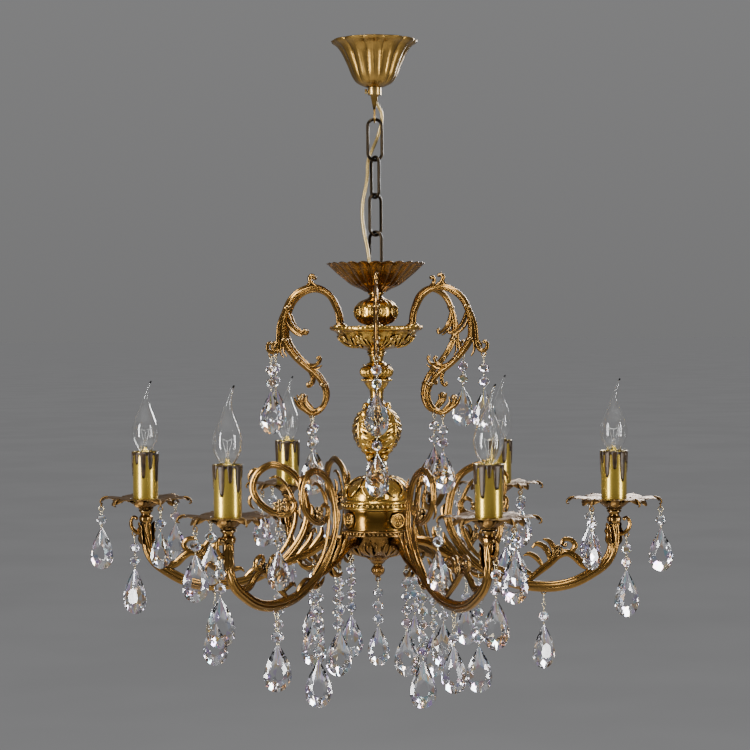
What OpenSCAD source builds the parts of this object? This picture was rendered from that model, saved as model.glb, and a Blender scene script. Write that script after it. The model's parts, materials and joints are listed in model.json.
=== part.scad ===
// Six-arm chandelier: a cast brass column hung on a short chain, with six scrolled
// candle arms, six small scrolls above them and cut-glass drops on every scroll.
// The origin is the centre of the ceiling plane. +Z is up and the fixture hangs below it.

/* [Arms] */
// Distance from the centre line to the middle of each candle
candle_circle_r = 306; // [260:1:370]
// Turn of the first arm about the centre line, in degrees
arm_turn = -5; // [-30:1:30]
// Height of a candle's seat above the place where its arm meets the drum
candle_rise = 39; // [30:0.5:50]
// Half the width of an arm's main stem where it is thickest
arm_half_w = 7; // [5:0.5:8.5]
// Sideways thickness of an arm or a scroll, as a share of its width
cast_depth = 0.8; // [0.6:0.05:1]

/* [Upper scrolls] */
// Distance from the centre line to the foot of each scroll
scroll_foot_r = 54; // [48:0.5:55]
// Reach of a scroll's outermost curl from its foot
scroll_reach = 102; // [80:1:125]
// Half the width of a scroll's main stem
scroll_half_w = 4.4; // [3:0.1:5.5]
// Turn of each scroll about its own foot, in degrees
scroll_yaws = [14, 0, 5, -3, 0, 7];

/* [Ceiling] */
// Length of the strap that is screwed to the ceiling
strap_len = 92; // [84:1:104]
// Width of the strap
strap_w = 20; // [16:1:26]
// Thickness of the strap
strap_t = 3; // [2:0.5:4]
// Distance between the strap's two screw holes
strap_hole_gap = 70; // [50:1:76]
// Radius of a screw hole in the strap
strap_hole_r = 2.6; // [2:0.1:4]
// Radius of the canopy's rim
canopy_r = 56; // [54:1:72]
// Height of the canopy
canopy_h = 60; // [48:1:75]
// Thickness of spun metal in the canopy and the dishes
sheet_t = 1.4; // [1:0.1:2]
// Height of the collar under the canopy
collar_h = 9.6; // [8:0.2:14]
// Outer radius of the collar
collar_r = 8.6; // [8:0.1:11]
// Radius of the threaded stem that carries the fixture
stem_r = 5; // [4.5:0.1:6]
// Radius of the set screw
set_screw_r = 1.8; // [1.2:0.1:2.2]

/* [Chain] */
// Outer length of a chain link
link_len = 57; // [48:1:68]
// Outer width of a chain link
link_w = 22.5; // [20:0.5:26]
// Diameter of a link's wire
link_wire = 4; // [3:0.1:4.4]
// Height of the strap loop under the collar
loop_h = 36.4; // [32:0.2:44]
// Outer width of the strap loop
loop_w = 18; // [16:0.5:22]
// Width of the band that the strap loop is bent from
loop_band_w = 10; // [8:0.5:11]
// Thickness of that band
loop_band_t = 3; // [2:0.1:3.4]
// Turn of each chain link about the centre line, in degrees
link_yaws = [8, -58, 38, -35];
// Diameter of the supply cord
cord_d = 4.4; // [3:0.1:4.6]

/* [Column] */
// Radius of the fluted dish that hides the end of the chain
dish_r = 64.6; // [54:0.2:76]
// Height of the fluted dish
dish_h = 38; // [34:1:45]
// Radius of the embossed ball
ball_r = 29.4; // [24:0.2:35]
// Height of the embossed ball
ball_h = 32; // [27:0.5:38]
// Radius of the scroll bowl's rim
bowl_r = 60; // [58:0.5:66]
// Height of the scroll bowl
bowl_h = 35; // [30:0.5:42]
// Thickness of the scroll bowl's flange
flange_t = 5; // [4:0.5:7]
// Radius of the gadrooned ring
waist_r = 22.4; // [19:0.2:27]
// Height of the waist, from the scroll bowl to the leaf vase
waist_h = 64; // [54:1:76]
// Largest radius of the leaf vase
vase_r = 40; // [34:0.5:48]
// Height of the leaf vase
vase_h = 77; // [66:1:92]
// Radius of the drum that carries the arms
drum_r = 44.5; // [43:0.5:50]
// Height of the dome on the drum, with its beaded band
dome_h = 61; // [52:1:72]
// Height of the drum's plain side
drum_h = 26; // [24:1:31]
// Height of the drum's base
base_h = 45; // [42:1:54]
// Radius of the finial ball
finial_r = 9; // [8:0.5:11]
// Height of the finial
finial_h = 19; // [17:0.5:23]
// Radius of the centre rod
rod_r = 5; // [4.5:0.1:5.5]
// Radius of the passage for wires inside the centre rod and the stem
wire_bore_r = 3.4; // [2.6:0.1:3.6]

/* [Candles] */
// Radius of a bobeche, from its middle to a petal's tip
bobeche_r = 61; // [52:1:73]
// Thickness of a bobeche
bobeche_t = 1.6; // [1.2:0.1:2.2]
// Gap between a lampholder and its candle sleeve
sleeve_gap = 2.3; // [1:0.1:5]
// Wall of a candle sleeve
sleeve_wall = 1.6; // [1:0.1:2]
// Height of a candle sleeve
sleeve_h = 63; // [52:1:76]
// Radius of a lampholder's body
holder_r = 12.6; // [11:0.1:13]
// Radius of a bulb's screw cap
cap_r = 6.9; // [6.5:0.1:7]
// Length of a bulb's screw cap
cap_h = 20; // [17:1:24]
// Largest radius of a bulb's glass
bulb_r = 17.5; // [16:0.5:20]
// Height of a bulb's glass
bulb_h = 97; // [82:1:115]

/* [Drops] */
// Length of a cut almond
almond_h = 60; // [50:1:72]
// Width of a cut almond
almond_w = 34; // [28:1:40]
// Thickness of a cut almond
almond_t = 13; // [11:0.5:15]
// Radius of a bead
bead_r = 7; // [6:0.2:8]
// Radius of the wire ring at the top of a drop
drop_ring_r = 3.2; // [3:0.1:4]
// Radius of the pins and rings of a drop
pin_r = 0.7; // [0.5:0.05:0.8]
// Radius of a cast eye that a drop hangs in
eye_r = 3; // [2.8:0.1:3.6]
// Radius of the metal of a cast eye
eye_wire_r = 0.8; // [0.6:0.05:0.9]

/* [Clearances] */
// Radial clearance of a rod, a stem or a tenon in its hole
fit_gap = 0.25; // [0.15:0.05:0.4]
// Clearance between hooked rings and links
hang_gap = 0.4; // [0.3:0.05:0.6]

/* [Hidden] */
ARM_COUNT = 6;
SCROLL_COUNT = 6;
LINK_COUNT = 4;
ROUND = 48;
arm_step = 360 / ARM_COUNT;
scroll_step = 360 / SCROLL_COUNT;

// Names of a repeated sub-part, numbered from 1
function numbered(name, count) = [for (i = [1:count]) str(name, "_", i)];

// Heights of the ceiling parts and the chain
collar_bottom = -canopy_h - collar_h;
loop_bottom = collar_bottom - loop_h;
loop_rod_r = 0.45 * loop_band_t;
first_link_top = loop_bottom + 2 * loop_rod_r + hang_gap + link_wire;
link_pitch = link_len - 2 * link_wire - hang_gap;
last_link_bottom = first_link_top - (LINK_COUNT - 1) * link_pitch - link_len;
body_eye_wire = 5;
body_eye_h = 26;
body_eye_top = last_link_bottom + link_wire + hang_gap + body_eye_wire;

// Heights of the column, each piece standing on the next
dish_rim_rise = 5.5;
dish_top = body_eye_top + dish_rim_rise;
dish_bottom = dish_top - dish_h;
dish_floor = dish_bottom + 3;
ball_neck_h = 10;
ball_top = dish_bottom - ball_neck_h;
ball_bottom = ball_top - ball_h;
bowl_top = ball_bottom - 2.4;
bowl_floor = bowl_top - bowl_h + 16;
bowl_bottom = bowl_top - bowl_h;
waist_bottom = bowl_bottom - waist_h;
vase_bottom = waist_bottom - vase_h;
dome_bottom = vase_bottom - dome_h;
drum_bottom = dome_bottom - drum_h;
base_bottom = drum_bottom - base_h;
base_floor_t = 4;
base_wall = 3;
base_side_h = 20;
finial_bottom = base_bottom - finial_h;
rod_top = dish_floor + 6;
rod_bottom = base_bottom - finial_h / 2;
rod_hole_r = rod_r + fit_gap;
nut_r = 9;
nut_h = 5;

// Places of the arms
arm_root_r = drum_r + 0.5;
arm_root_z = drum_bottom - 15;
tenon_r = 4;
tenon_len = 13;
arm_nut_r = 6.2;
arm_nut_t = 4;
arm_design_reach = 261;
arm_reach = candle_circle_r - arm_root_r;
arm_stretch = arm_reach / arm_design_reach;
seat_z = arm_root_z + candle_rise;
nipple_r = 4.5;
nipple_depth = 10;

// Places of the candle parts
bobeche_hub_h = 14;
bobeche_floor = seat_z + bobeche_hub_h;
sleeve_top = bobeche_floor + sleeve_h;
sleeve_r = holder_r + sleeve_gap + sleeve_wall;
cap_bottom = sleeve_top - cap_h - 3;
holder_top = cap_bottom + cap_h - 3;

// Drops: the pin hangs in an eye, so its ring is this far above the pivot
ring_rise = eye_wire_r + pin_r + hang_gap;
bead_pitch = 2 * bead_r + 3;
rim_lead = 9;
arm_lead = 22;
hook_lead = 9;
finial_lead = 8;

// Point at fraction t from b to c on a smooth curve through a, b, c and d
function curve_point(a, b, c, d, t) =
    0.5 * (2 * b + (c - a) * t + (2 * a - 5 * b + 4 * c - d) * t * t
           + (3 * b - a - 3 * c + d) * t * t * t);

// A smooth curve through the points, with the given number of steps from each to the next
function smooth(points, steps) =
    let (last = len(points) - 1)
    concat(
        [for (i = [0:last - 1]) for (s = [0:steps - 1])
            curve_point(points[max(i - 1, 0)], points[i], points[i + 1],
                        points[min(i + 2, last)], s / steps)],
        [points[last]]
    );

// Unit vector along v
function unit(v) = v / norm(v);

// Corners of a stem that follows [out, up, half width] points in the XZ plane
function stem_corners(path, depth, sides) =
    let (last = len(path) - 1)
    [for (i = [0:last])
        let (
            before = path[max(i - 1, 0)],
            after = path[min(i + 1, last)],
            way = unit([after[0] - before[0], after[1] - before[1]]),
            half = path[i][2]
        )
        for (k = [0:sides - 1])
            let (inward = half * cos(360 * k / sides), across = half * depth * sin(360 * k / sides))
            [path[i][0] - way[1] * inward, across, path[i][1] + way[0] * inward]];

// Faces of a tube of that many rings, closed at both ends
function tube_faces(rings, sides) =
    concat(
        [[for (k = [sides - 1:-1:0]) k]],
        [[for (k = [0:sides - 1]) (rings - 1) * sides + k]],
        [for (i = [0:rings - 2]) for (k = [0:sides - 1])
            [i * sides + k, i * sides + (k + 1) % sides, (i + 1) * sides + (k + 1) % sides,
             (i + 1) * sides + k]]
    );

// A cast stem with an oval section that follows [out, up, half width] points
module stem(points, steps = 1, depth = cast_depth, sides = 8) {
    path = smooth(points, steps);
    polyhedron(
        points = stem_corners(path, depth, sides),
        faces = tube_faces(len(path), sides),
        convexity = 10
    );
}

// A small round-ended stem through [out, up] points, as hulls of balls
module curl(points, r) {
    for (i = [0:len(points) - 2])
        hull() {
            translate([points[i][0], 0, points[i][1]]) sphere(r, $fn = 4);
            translate([points[i + 1][0], 0, points[i + 1][1]]) sphere(r, $fn = 4);
        }
}

// A wire ring in the XZ plane, made of few flat faces
module coarse_ring(ring_r, wire_r) {
    rotate([90, 0, 0])
        rotate_extrude($fn = 6)
            translate([ring_r, 0])
                circle(wire_r, $fn = 3);
}

// A cast eye whose lowest wire lies along X through the origin
module eye_at(out, up) {
    translate([out, 0, up + eye_r]) coarse_ring(eye_r, eye_wire_r);
}

// A solid of revolution from its [radius, height] outline
module turned(outline) {
    rotate_extrude($fn = ROUND) polygon(outline);
}

// ---------------------------------------------------------------- ceiling

module ceiling_strap() {
    color("goldenrod")
        difference() {
            translate([-strap_len / 2, -strap_w / 2, -strap_t])
                cube([strap_len, strap_w, strap_t]);
            for (side = [-1, 1])
                translate([side * strap_hole_gap / 2, 0, -strap_t - 1])
                    cylinder(h = strap_t + 2, r = strap_hole_r, $fn = ROUND);
            translate([0, 0, -strap_t - 1])
                cylinder(h = strap_t + 2, r = stem_r + fit_gap, $fn = ROUND);
        }
}

module hanging_stem() {
    color("goldenrod")
        difference() {
            union() {
                translate([0, 0, collar_bottom])
                    cylinder(h = -collar_bottom - 0.5, r = stem_r, $fn = ROUND);
                translate([0, 0, -strap_t - fit_gap - nut_h])
                    cylinder(h = nut_h, r = nut_r, $fn = 6);
            }
            translate([0, 0, collar_bottom - 1])
                cylinder(h = -collar_bottom + 2, r = wire_bore_r, $fn = ROUND);
        }
}

// Bell profile from rim to neck, as shares of the radius and the height
canopy_curve = [[1, 0], [0.97, 0.04], [0.85, 0.11], [0.71, 0.34], [0.6, 0.55], [0.49, 0.78],
                [0.36, 0.93], [0.16, 1]];

module canopy() {
    outer = [for (p = canopy_curve) [p[0] * canopy_r, -p[1] * canopy_h]];
    inner = [for (i = [len(outer) - 2:-1:0])
        [outer[i][0] - sheet_t, outer[i][1] + (i == 0 ? 0 : sheet_t)]];
    color("darkgoldenrod")
        turned(concat(outer,
                      [[stem_r + fit_gap, -canopy_h], [stem_r + fit_gap, -canopy_h + sheet_t]],
                      inner));
}

module canopy_collar() {
    color("darkgoldenrod")
        difference() {
            translate([0, 0, collar_bottom])
                cylinder(h = collar_h, r = collar_r, $fn = ROUND);
            translate([0, 0, collar_bottom - 1])
                cylinder(h = collar_h + 2, r = stem_r + fit_gap, $fn = ROUND);
            translate([-collar_r - 1, 0, collar_bottom + collar_h / 2])
                rotate([0, 90, 0])
                    cylinder(h = collar_r, r = set_screw_r + fit_gap, $fn = ROUND);
        }
}

module set_screw() {
    head_r = 3;
    head_t = 3.2;
    color("goldenrod")
        translate([-collar_r - 0.6, 0, collar_bottom + collar_h / 2])
            rotate([0, -90, 0])
                difference() {
                    union() {
                        translate([0, 0, stem_r + fit_gap + 0.1 - collar_r - 0.6])
                            cylinder(h = collar_r + 0.6 - stem_r, r = set_screw_r, $fn = ROUND);
                        cylinder(h = head_t, r = head_r, $fn = ROUND);
                    }
                    translate([-head_r, -0.4, head_t - 1])
                        cube([2 * head_r, 0.8, 2]);
                }
}

// A strap bent into a long loop: broad where it meets the collar, and round rod below,
// so that a chain link can swing on it
module hanging_loop() {
    bend_r = (loop_w - loop_band_t) / 2;
    side_h = loop_h - bend_r - loop_rod_r;
    taper_h = 0.3 * side_h;
    color("darkgoldenrod")
        translate([0, 0, loop_bottom + bend_r + loop_rod_r]) {
            rotate([0, 180, 90])
                rotate([90, 0, 0])
                    rotate_extrude(angle = 180, $fn = ROUND)
                        translate([bend_r, 0])
                            circle(loop_rod_r, $fn = 24);
            for (side = [-1, 1])
                translate([0, side * bend_r, 0]) {
                    cylinder(h = taper_h + 2, r = loop_rod_r, $fn = 24);
                    translate([0, loop_band_t / 2, 0])
                        rotate([90, 0, 0])
                            linear_extrude(loop_band_t)
                                polygon([[-loop_band_t / 2, taper_h], [loop_band_t / 2, taper_h],
                                         [loop_band_w / 2, side_h], [-loop_band_w / 2, side_h]]);
                }
            difference() {
                translate([-loop_band_w / 2, -loop_w / 2, side_h - loop_band_t])
                    cube([loop_band_w, loop_w, loop_band_t]);
                translate([0, 0, side_h - loop_band_t - 1])
                    cylinder(h = loop_band_t + 2, r = wire_bore_r, $fn = ROUND);
            }
        }
}

// ---------------------------------------------------------------- chain and cord

module chain_link(i) {
    bend_r = (link_w - link_wire) / 2;
    straight = link_len - link_w;
    color("dimgray")
        translate([0, 0, first_link_top - (i - 1) * link_pitch - link_len / 2])
            rotate([0, 0, link_yaws[i - 1]]) {
                for (end = [0, 180])
                    rotate([0, end, 0])
                        translate([0, 0, straight / 2])
                            rotate([90, 0, 0])
                                rotate_extrude(angle = 180, $fn = ROUND)
                                    translate([bend_r, 0])
                                        circle(link_wire / 2, $fn = 24);
                for (side = [-1, 1])
                    translate([side * bend_r, 0, -straight / 2])
                        cylinder(h = straight, r = link_wire / 2, $fn = 24);
            }
}

// The boss that the body loop stands on, and the cord's hole in it
boss_r = 12;
boss_top = dish_floor + 9;
cord_hole_x = -8.2;

// Route of the cord, out of the stem, beside the chain and into the body loop's boss, as drawn
// for a first link and a boss with their tops at these heights
cord_drawn_link = -98.9;
cord_drawn_boss = -312.8;
cord_drawn = [
    [0, 0, -40], [0, 0, -56], [0, 0, -68], [0.5, 0.3, -75], [4, 2, -82], [8.6, 5, -91],
    [9.4, 6.4, -100], [7, 7, -112], [3, 7.4, -125], [-2.6, 7.6, -138], [-7.4, 6.6, -149],
    [-9.6, 4.2, -160], [-9.8, 1.2, -172], [-11.5, -1.6, -186], [-14.5, -2.8, -200],
    [-16.4, -3.2, -213], [-16.8, -3, -227], [-15.6, -2.4, -241], [-13.2, -1.6, -255],
    [-10.6, -1, -268], [-9, -0.6, -280], [-8.4, -0.3, -292], [-8.2, 0, -304],
    [-8.2, 0, -315], [-8.2, 0, -319]
];
function cord_height(z) = z > cord_drawn_link
    ? z * first_link_top / cord_drawn_link
    : first_link_top + (z - cord_drawn_link) * (boss_top - first_link_top)
                       / (cord_drawn_boss - cord_drawn_link);
cord_route = [for (p = cord_drawn) [p[0], p[1], cord_height(p[2])]];

// A frame across the cord at each point: two unit vectors square to its direction
function across_cord(way) =
    let (first = unit(cross(way, [0, 1, 0])))
    [first, cross(first, way)];

module supply_cord() {
    path = smooth(cord_route, 2);
    last = len(path) - 1;
    sides = 8;
    corners = [for (i = [0:last])
        let (
            way = unit(path[min(i + 1, last)] - path[max(i - 1, 0)]),
            frame = across_cord(way)
        )
        for (k = [0:sides - 1])
            path[i] + cord_d / 2 * (cos(360 * k / sides) * frame[0]
                                    + sin(360 * k / sides) * frame[1])];
    color("khaki")
        polyhedron(points = corners, faces = tube_faces(len(path), sides), convexity = 10);
}

// Turn of the body loop, square to the last link
body_loop_yaw = link_yaws[LINK_COUNT - 1] + 90;

module body_loop() {
    eye_mid_r = 9;
    straight = body_eye_h - 2 * eye_mid_r - body_eye_wire;
    color("darkgoldenrod") {
        translate([0, 0, body_eye_top - body_eye_h / 2])
            rotate([0, 0, body_loop_yaw]) {
                translate([0, 0, straight / 2])
                    rotate([90, 0, 0])
                        rotate_extrude($fn = ROUND)
                            translate([eye_mid_r, 0])
                                circle(body_eye_wire / 2, $fn = 24);
            }
        difference() {
            translate([0, 0, dish_floor])
                cylinder(h = boss_top - dish_floor, r = boss_r, $fn = ROUND);
            translate([0, 0, dish_floor - 1])
                cylinder(h = rod_top - dish_floor + 1.5, r = rod_hole_r, $fn = ROUND);
            translate([cord_hole_x, 0, dish_floor - 1])
                cylinder(h = boss_top - dish_floor + 2, r = cord_d / 2 + fit_gap, $fn = ROUND);
        }
    }
}

// ---------------------------------------------------------------- column

// Dish profile from rim to foot: shares of the radius, and of the height from the top
dish_curve = [[1, 0], [0.885, 0.18], [0.665, 0.52], [0.48, 0.77], [0.3, 0.92]];

module upper_dish() {
    outer = [for (p = dish_curve) [p[0] * dish_r, dish_top - p[1] * dish_h]];
    inner = [for (i = [len(outer) - 2:-1:0])
        [outer[i][0] - 1.5 * sheet_t, outer[i][1] + (i == 0 ? 0 : sheet_t)]];
    color("sienna")
        turned(concat(outer,
                      [[13, dish_bottom], [rod_hole_r, dish_bottom], [rod_hole_r, dish_floor],
                       [boss_r + 2, dish_floor]],
                      inner));
}

module embossed_ball() {
    neck_r = 10;
    foot_r = 12;
    middle = (ball_top + ball_bottom) / 2;
    arc = [for (a = [60:-15:-60])
        [neck_r + (ball_r - neck_r) * (cos(a) - 0.5) / 0.5, middle + ball_h / 2 * sin(a) / sin(60)]];
    color("darkgoldenrod")
        turned(concat(
            [[rod_hole_r, dish_bottom], [neck_r, dish_bottom], [neck_r - 1, dish_bottom - 4]],
            arc,
            [[foot_r, bowl_top - 4], [foot_r, bowl_floor], [rod_hole_r, bowl_floor]]));
}

module scroll_bowl() {
    outer = [[bowl_r, bowl_top], [bowl_r, bowl_top - flange_t],
             [bowl_r - 5, bowl_top - flange_t - 1.5], [bowl_r - 13, bowl_top - 0.5 * bowl_h],
             [bowl_r - 21, bowl_top - 0.72 * bowl_h], [23, bowl_top - 0.87 * bowl_h],
             [12, bowl_bottom]];
    color("darkgoldenrod")
        difference() {
            turned(concat(outer,
                          [[rod_hole_r, bowl_bottom], [rod_hole_r, bowl_floor], [22, bowl_floor],
                           [bowl_r - 26, bowl_floor + 4], [scroll_foot_r - 7, bowl_top - flange_t],
                           [scroll_foot_r - 7, bowl_top]]));
            for (i = [0:SCROLL_COUNT - 1])
                rotate([0, 0, 30 + i * scroll_step])
                    translate([scroll_foot_r, 0, bowl_top - flange_t]) {
                        translate([0, 0, -1])
                            cylinder(h = flange_t + 2, r = scroll_screw_r + fit_gap, $fn = ROUND);
                        translate([0, 0, -20])
                            cylinder(h = 20, r = scroll_head_r + 0.6, $fn = ROUND);
                    }
        }
}

// Waist profile: [radius, share of the height from the top]
waist_curve = [[9.5, 0], [9, 0.2], [0.62 * waist_r, 0.24], [0.9 * waist_r, 0.28],
               [waist_r, 0.38], [0.9 * waist_r, 0.48], [0.74 * waist_r, 0.51],
               [0.87 * waist_r, 0.52], [0.87 * waist_r, 0.55], [0.75 * waist_r, 0.57],
               [11, 0.7], [9, 0.76], [8.4, 1]];

module waist_ring() {
    color("goldenrod")
        turned(concat([for (p = waist_curve) [p[0], bowl_bottom - p[1] * waist_h]],
                      [[rod_hole_r, waist_bottom], [rod_hole_r, bowl_bottom]]));
}

LEAF_COUNT = 4;
// Leaf spine: shares of the vase's radius, and of its height from the top
leaf_spine = [[0.34, 0.05], [0.7, 0.14], [0.95, 0.3], [1, 0.43], [0.86, 0.66], [0.58, 0.86],
              [0.36, 0.97]];
// Half angle that the leaf spans at each spine point, in degrees
leaf_spans = [14, 30, 38, 38, 32, 24, 12];

// One bulging leaf: a curved sheet round the vase, swept down its spine
module vase_leaf() {
    rows = len(leaf_spine);
    columns = 4;
    leaf_t = 3;
    function corner(i, j, inset) =
        let (
            share = 2 * j / (columns - 1) - 1,
            angle = leaf_spans[i] * share,
            r = (leaf_spine[i][0] * vase_r - inset) * (1 - 0.14 * share * share)
        )
        [r * cos(angle), r * sin(angle), waist_bottom - leaf_spine[i][1] * vase_h];
    outside = [for (i = [0:rows - 1]) for (j = [0:columns - 1]) corner(i, j, 0)];
    inside = [for (i = [0:rows - 1]) for (j = [0:columns - 1]) corner(i, j, leaf_t)];
    back = rows * columns;
    function at(i, j) = i * columns + j;
    front_faces = [for (i = [0:rows - 2]) for (j = [0:columns - 2])
        [at(i, j), at(i, j + 1), at(i + 1, j + 1), at(i + 1, j)]];
    back_faces = [for (f = front_faces) [for (k = [3:-1:0]) back + f[k]]];
    edge = concat(
        [for (j = [0:columns - 1]) at(0, j)],
        [for (i = [1:rows - 1]) at(i, columns - 1)],
        [for (j = [columns - 2:-1:0]) at(rows - 1, j)],
        [for (i = [rows - 2:-1:1]) at(i, 0)]
    );
    rim_faces = [for (k = [0:len(edge) - 1])
        let (next = edge[(k + 1) % len(edge)])
        [next, edge[k], back + edge[k], back + next]];
    polyhedron(points = concat(outside, inside),
               faces = concat(front_faces, back_faces, rim_faces), convexity = 6);
}

module leaf_vase() {
    color("goldenrod")
        difference() {
            union() {
                rotate_extrude($fn = 16)
                    polygon([[0, waist_bottom], [9, waist_bottom],
                             [14, waist_bottom - 0.1 * vase_h],
                             [17, waist_bottom - 0.45 * vase_h],
                             [12, waist_bottom - 0.85 * vase_h], [9, vase_bottom],
                             [0, vase_bottom]]);
                for (i = [0:LEAF_COUNT - 1])
                    rotate([0, 0, 45 + i * 360 / LEAF_COUNT]) {
                        vase_leaf();
                        hull() {
                            translate([0.3 * vase_r, 0, waist_bottom - 0.97 * vase_h])
                                sphere(2.4, $fn = 5);
                            translate([0.5 * vase_r, 0, waist_bottom - 0.88 * vase_h])
                                sphere(3, $fn = 5);
                        }
                        hull() {
                            translate([8, -2, waist_bottom - 0.5 * vase_h])
                                cube([0.8 * vase_r - 8, 4, 3]);
                            translate([8, -2, waist_bottom - 0.3 * vase_h])
                                cube([0.8 * vase_r - 8, 4, 3]);
                        }
                    }
            }
            translate([0, 0, vase_bottom - 1])
                cylinder(h = vase_h + 2, r = rod_hole_r + 0.2, $fn = 16);
        }
}

band_rise = 2.5;
band_h = 12;

module drum_dome() {
    crown = dome_bottom + band_h;
    stalk_h = 0.3 * dome_h;
    shoulder_h = dome_h - band_h - stalk_h;
    shell = [for (a = [80:-16:0])
        [9 + (drum_r - 9) * cos(a), crown + shoulder_h * sin(a)]];
    hollow = [for (a = [0:16:80])
        [6 + (drum_r - 10) * cos(a), crown - 2 + (shoulder_h - 1) * sin(a)]];
    color("gold")
        turned(concat(
            [[rod_hole_r, vase_bottom], [9, vase_bottom], [7.6, vase_bottom - 0.12 * dome_h],
             [11, vase_bottom - 0.26 * dome_h]],
            shell,
            [[drum_r + 1.5, crown - 1], [drum_r + band_rise, crown - 2.5],
             [drum_r + band_rise, dome_bottom + 1.5], [drum_r + 1.5, dome_bottom],
             [drum_r - 4, dome_bottom]],
            hollow,
            [[rod_hole_r, crown + shoulder_h - 4]]));
}

MEDALLION_COUNT = 4;
medallion_r = 10.5;
medallion_turn = 35;

module drum_body() {
    color("gold")
        difference() {
            union() {
                translate([0, 0, drum_bottom])
                    cylinder(h = drum_h, r = drum_r, $fn = ROUND);
                for (i = [0:MEDALLION_COUNT - 1])
                    rotate([0, 90, medallion_turn + i * 360 / MEDALLION_COUNT])
                        translate([-drum_bottom - drum_h / 2, 0, drum_r - 4])
                            cylinder(h = 5.6, r = medallion_r, $fn = ROUND);
            }
            translate([0, 0, drum_bottom - 1])
                cylinder(h = drum_h + 2, r = drum_r - 2.5, $fn = ROUND);
        }
}

module drum_base() {
    side_bottom = drum_bottom - 8 - base_side_h * 0.6;
    color("goldenrod")
        difference() {
            turned([[drum_r, drum_bottom], [drum_r + 2, drum_bottom - 1.5],
                    [drum_r + 2, drum_bottom - 6], [drum_r, drum_bottom - 8],
                    [drum_r, side_bottom], [drum_r - 5, side_bottom - 7],
                    [drum_r - 14, side_bottom - 12], [14, base_bottom + 5], [8, base_bottom],
                    [rod_hole_r, base_bottom], [rod_hole_r, base_bottom + 8 + base_floor_t],
                    [16, base_bottom + 8 + base_floor_t],
                    [drum_r - 14 - base_wall, side_bottom - 10 + base_wall],
                    [drum_r - 5 - base_wall, side_bottom - 5], [drum_r - base_wall, side_bottom],
                    [drum_r - base_wall, drum_bottom]]);
            for (i = [0:ARM_COUNT - 1])
                rotate([0, 0, arm_turn + i * arm_step])
                    translate([drum_r - 8, 0, arm_root_z])
                        rotate([0, 90, 0])
                            cylinder(h = 12, r = tenon_r + fit_gap, $fn = ROUND);
        }
}

module finial() {
    middle = base_bottom - 0.52 * finial_h;
    color("sienna") {
        difference() {
            turned(concat(
                [[0, base_bottom], [6.5, base_bottom], [5.8, base_bottom - 1.5]],
                [for (a = [42:-21:-63]) [finial_r * cos(a), middle + 0.9 * finial_r * sin(a)]],
                [[2.4, finial_bottom], [0, finial_bottom]]));
            translate([0, 0, rod_bottom - 0.5])
                cylinder(h = finial_h, r = rod_hole_r, $fn = ROUND);
        }
        translate([0, 0, finial_bottom - eye_r + eye_wire_r])
            rotate([90, 0, 0])
                rotate_extrude($fn = ROUND)
                    translate([eye_r, 0])
                        circle(eye_wire_r, $fn = 16);
    }
}

module centre_rod() {
    color("silver")
        difference() {
            translate([0, 0, rod_bottom])
                cylinder(h = rod_top - rod_bottom, r = rod_r, $fn = ROUND);
            translate([0, 0, rod_bottom - 1])
                cylinder(h = rod_top - rod_bottom + 2, r = wire_bore_r, $fn = ROUND);
        }
}

module rod_nuts() {
    color("silver")
        for (z = [base_bottom + 8.3 + base_floor_t, dome_bottom + band_h + 0.3 * dome_h])
            difference() {
                translate([0, 0, z])
                    cylinder(h = nut_h, r = nut_r, $fn = 6);
                translate([0, 0, z - 1])
                    cylinder(h = nut_h + 2, r = rod_hole_r, $fn = ROUND);
            }
}

// ---------------------------------------------------------------- upper scrolls

scroll_screw_r = 1.6;
scroll_head_r = 3.4;
scroll_head_t = 2;
scroll_design_reach = 102;
scroll_stretch = scroll_reach / scroll_design_reach;

// Main stem of a scroll from its foot, over the top and down to the lower curl
scroll_line = [
    [0, 2, 1.1], [1.5, 16, 1], [6.5, 28, 1], [13, 38.5, 1], [23, 46, 1], [34, 49.5, 1],
    [44.5, 49, 1], [55.5, 45, 1], [64.5, 38.5, 1], [71, 31, 1], [75.5, 22, 1],
    [79, 12, 1.05], [80.5, 1, 1.05], [80, -13.5, 1.05], [75.5, -23.5, 1.05], [68, -33.5, 1],
    [58, -43.5, 0.95], [47, -52.5, 0.9], [36, -60.5, 0.85], [27, -70.5, 0.85],
    [21, -82.5, 0.85], [21, -94, 0.85], [26, -104, 0.8], [34, -110, 0.8], [43, -110.5, 0.8],
    [52.5, -104, 0.75], [58, -95.5, 0.75]
];
// Strand that leaves the main stem and ends in the outer hook
scroll_hook_line = [
    [74, 26, 0.6], [81, 14, 0.65], [85.5, 1, 0.65], [87, -13, 0.65], [88, -24, 0.65],
    [92, -31, 0.65], [97.5, -32, 0.6], [101.5, -28, 0.55]
];
scroll_top_curl = [[37, 52], [42, 60], [39, 66]];
scroll_inner_curl = [[72, 24], [69.5, 12], [65, 1], [59, -6], [52, -9]];
scroll_leaf = [[50, -50], [34, -41]];
scroll_low_curl = [[45, -54], [38, -66], [41, -74]];
scroll_hook_end = [[101.5, -28], [101.5, -22], [97, -18.5]];
scroll_end_ball = [58, -91];
scroll_eyes = [[97, -38.6], [41, -117.2]];

// Scroll points with their reach and half width
function reached(points) = [for (p = points) [p[0] * scroll_stretch, p[1], p[2] * scroll_half_w]];
function reached_line(points) = [for (p = points) [p[0] * scroll_stretch, p[1]]];

module at_scroll(i) {
    rotate([0, 0, 30 + (i - 1) * scroll_step])
        translate([scroll_foot_r, 0, bowl_top])
            rotate([0, 0, scroll_yaws[i - 1]])
                children();
}

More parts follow.
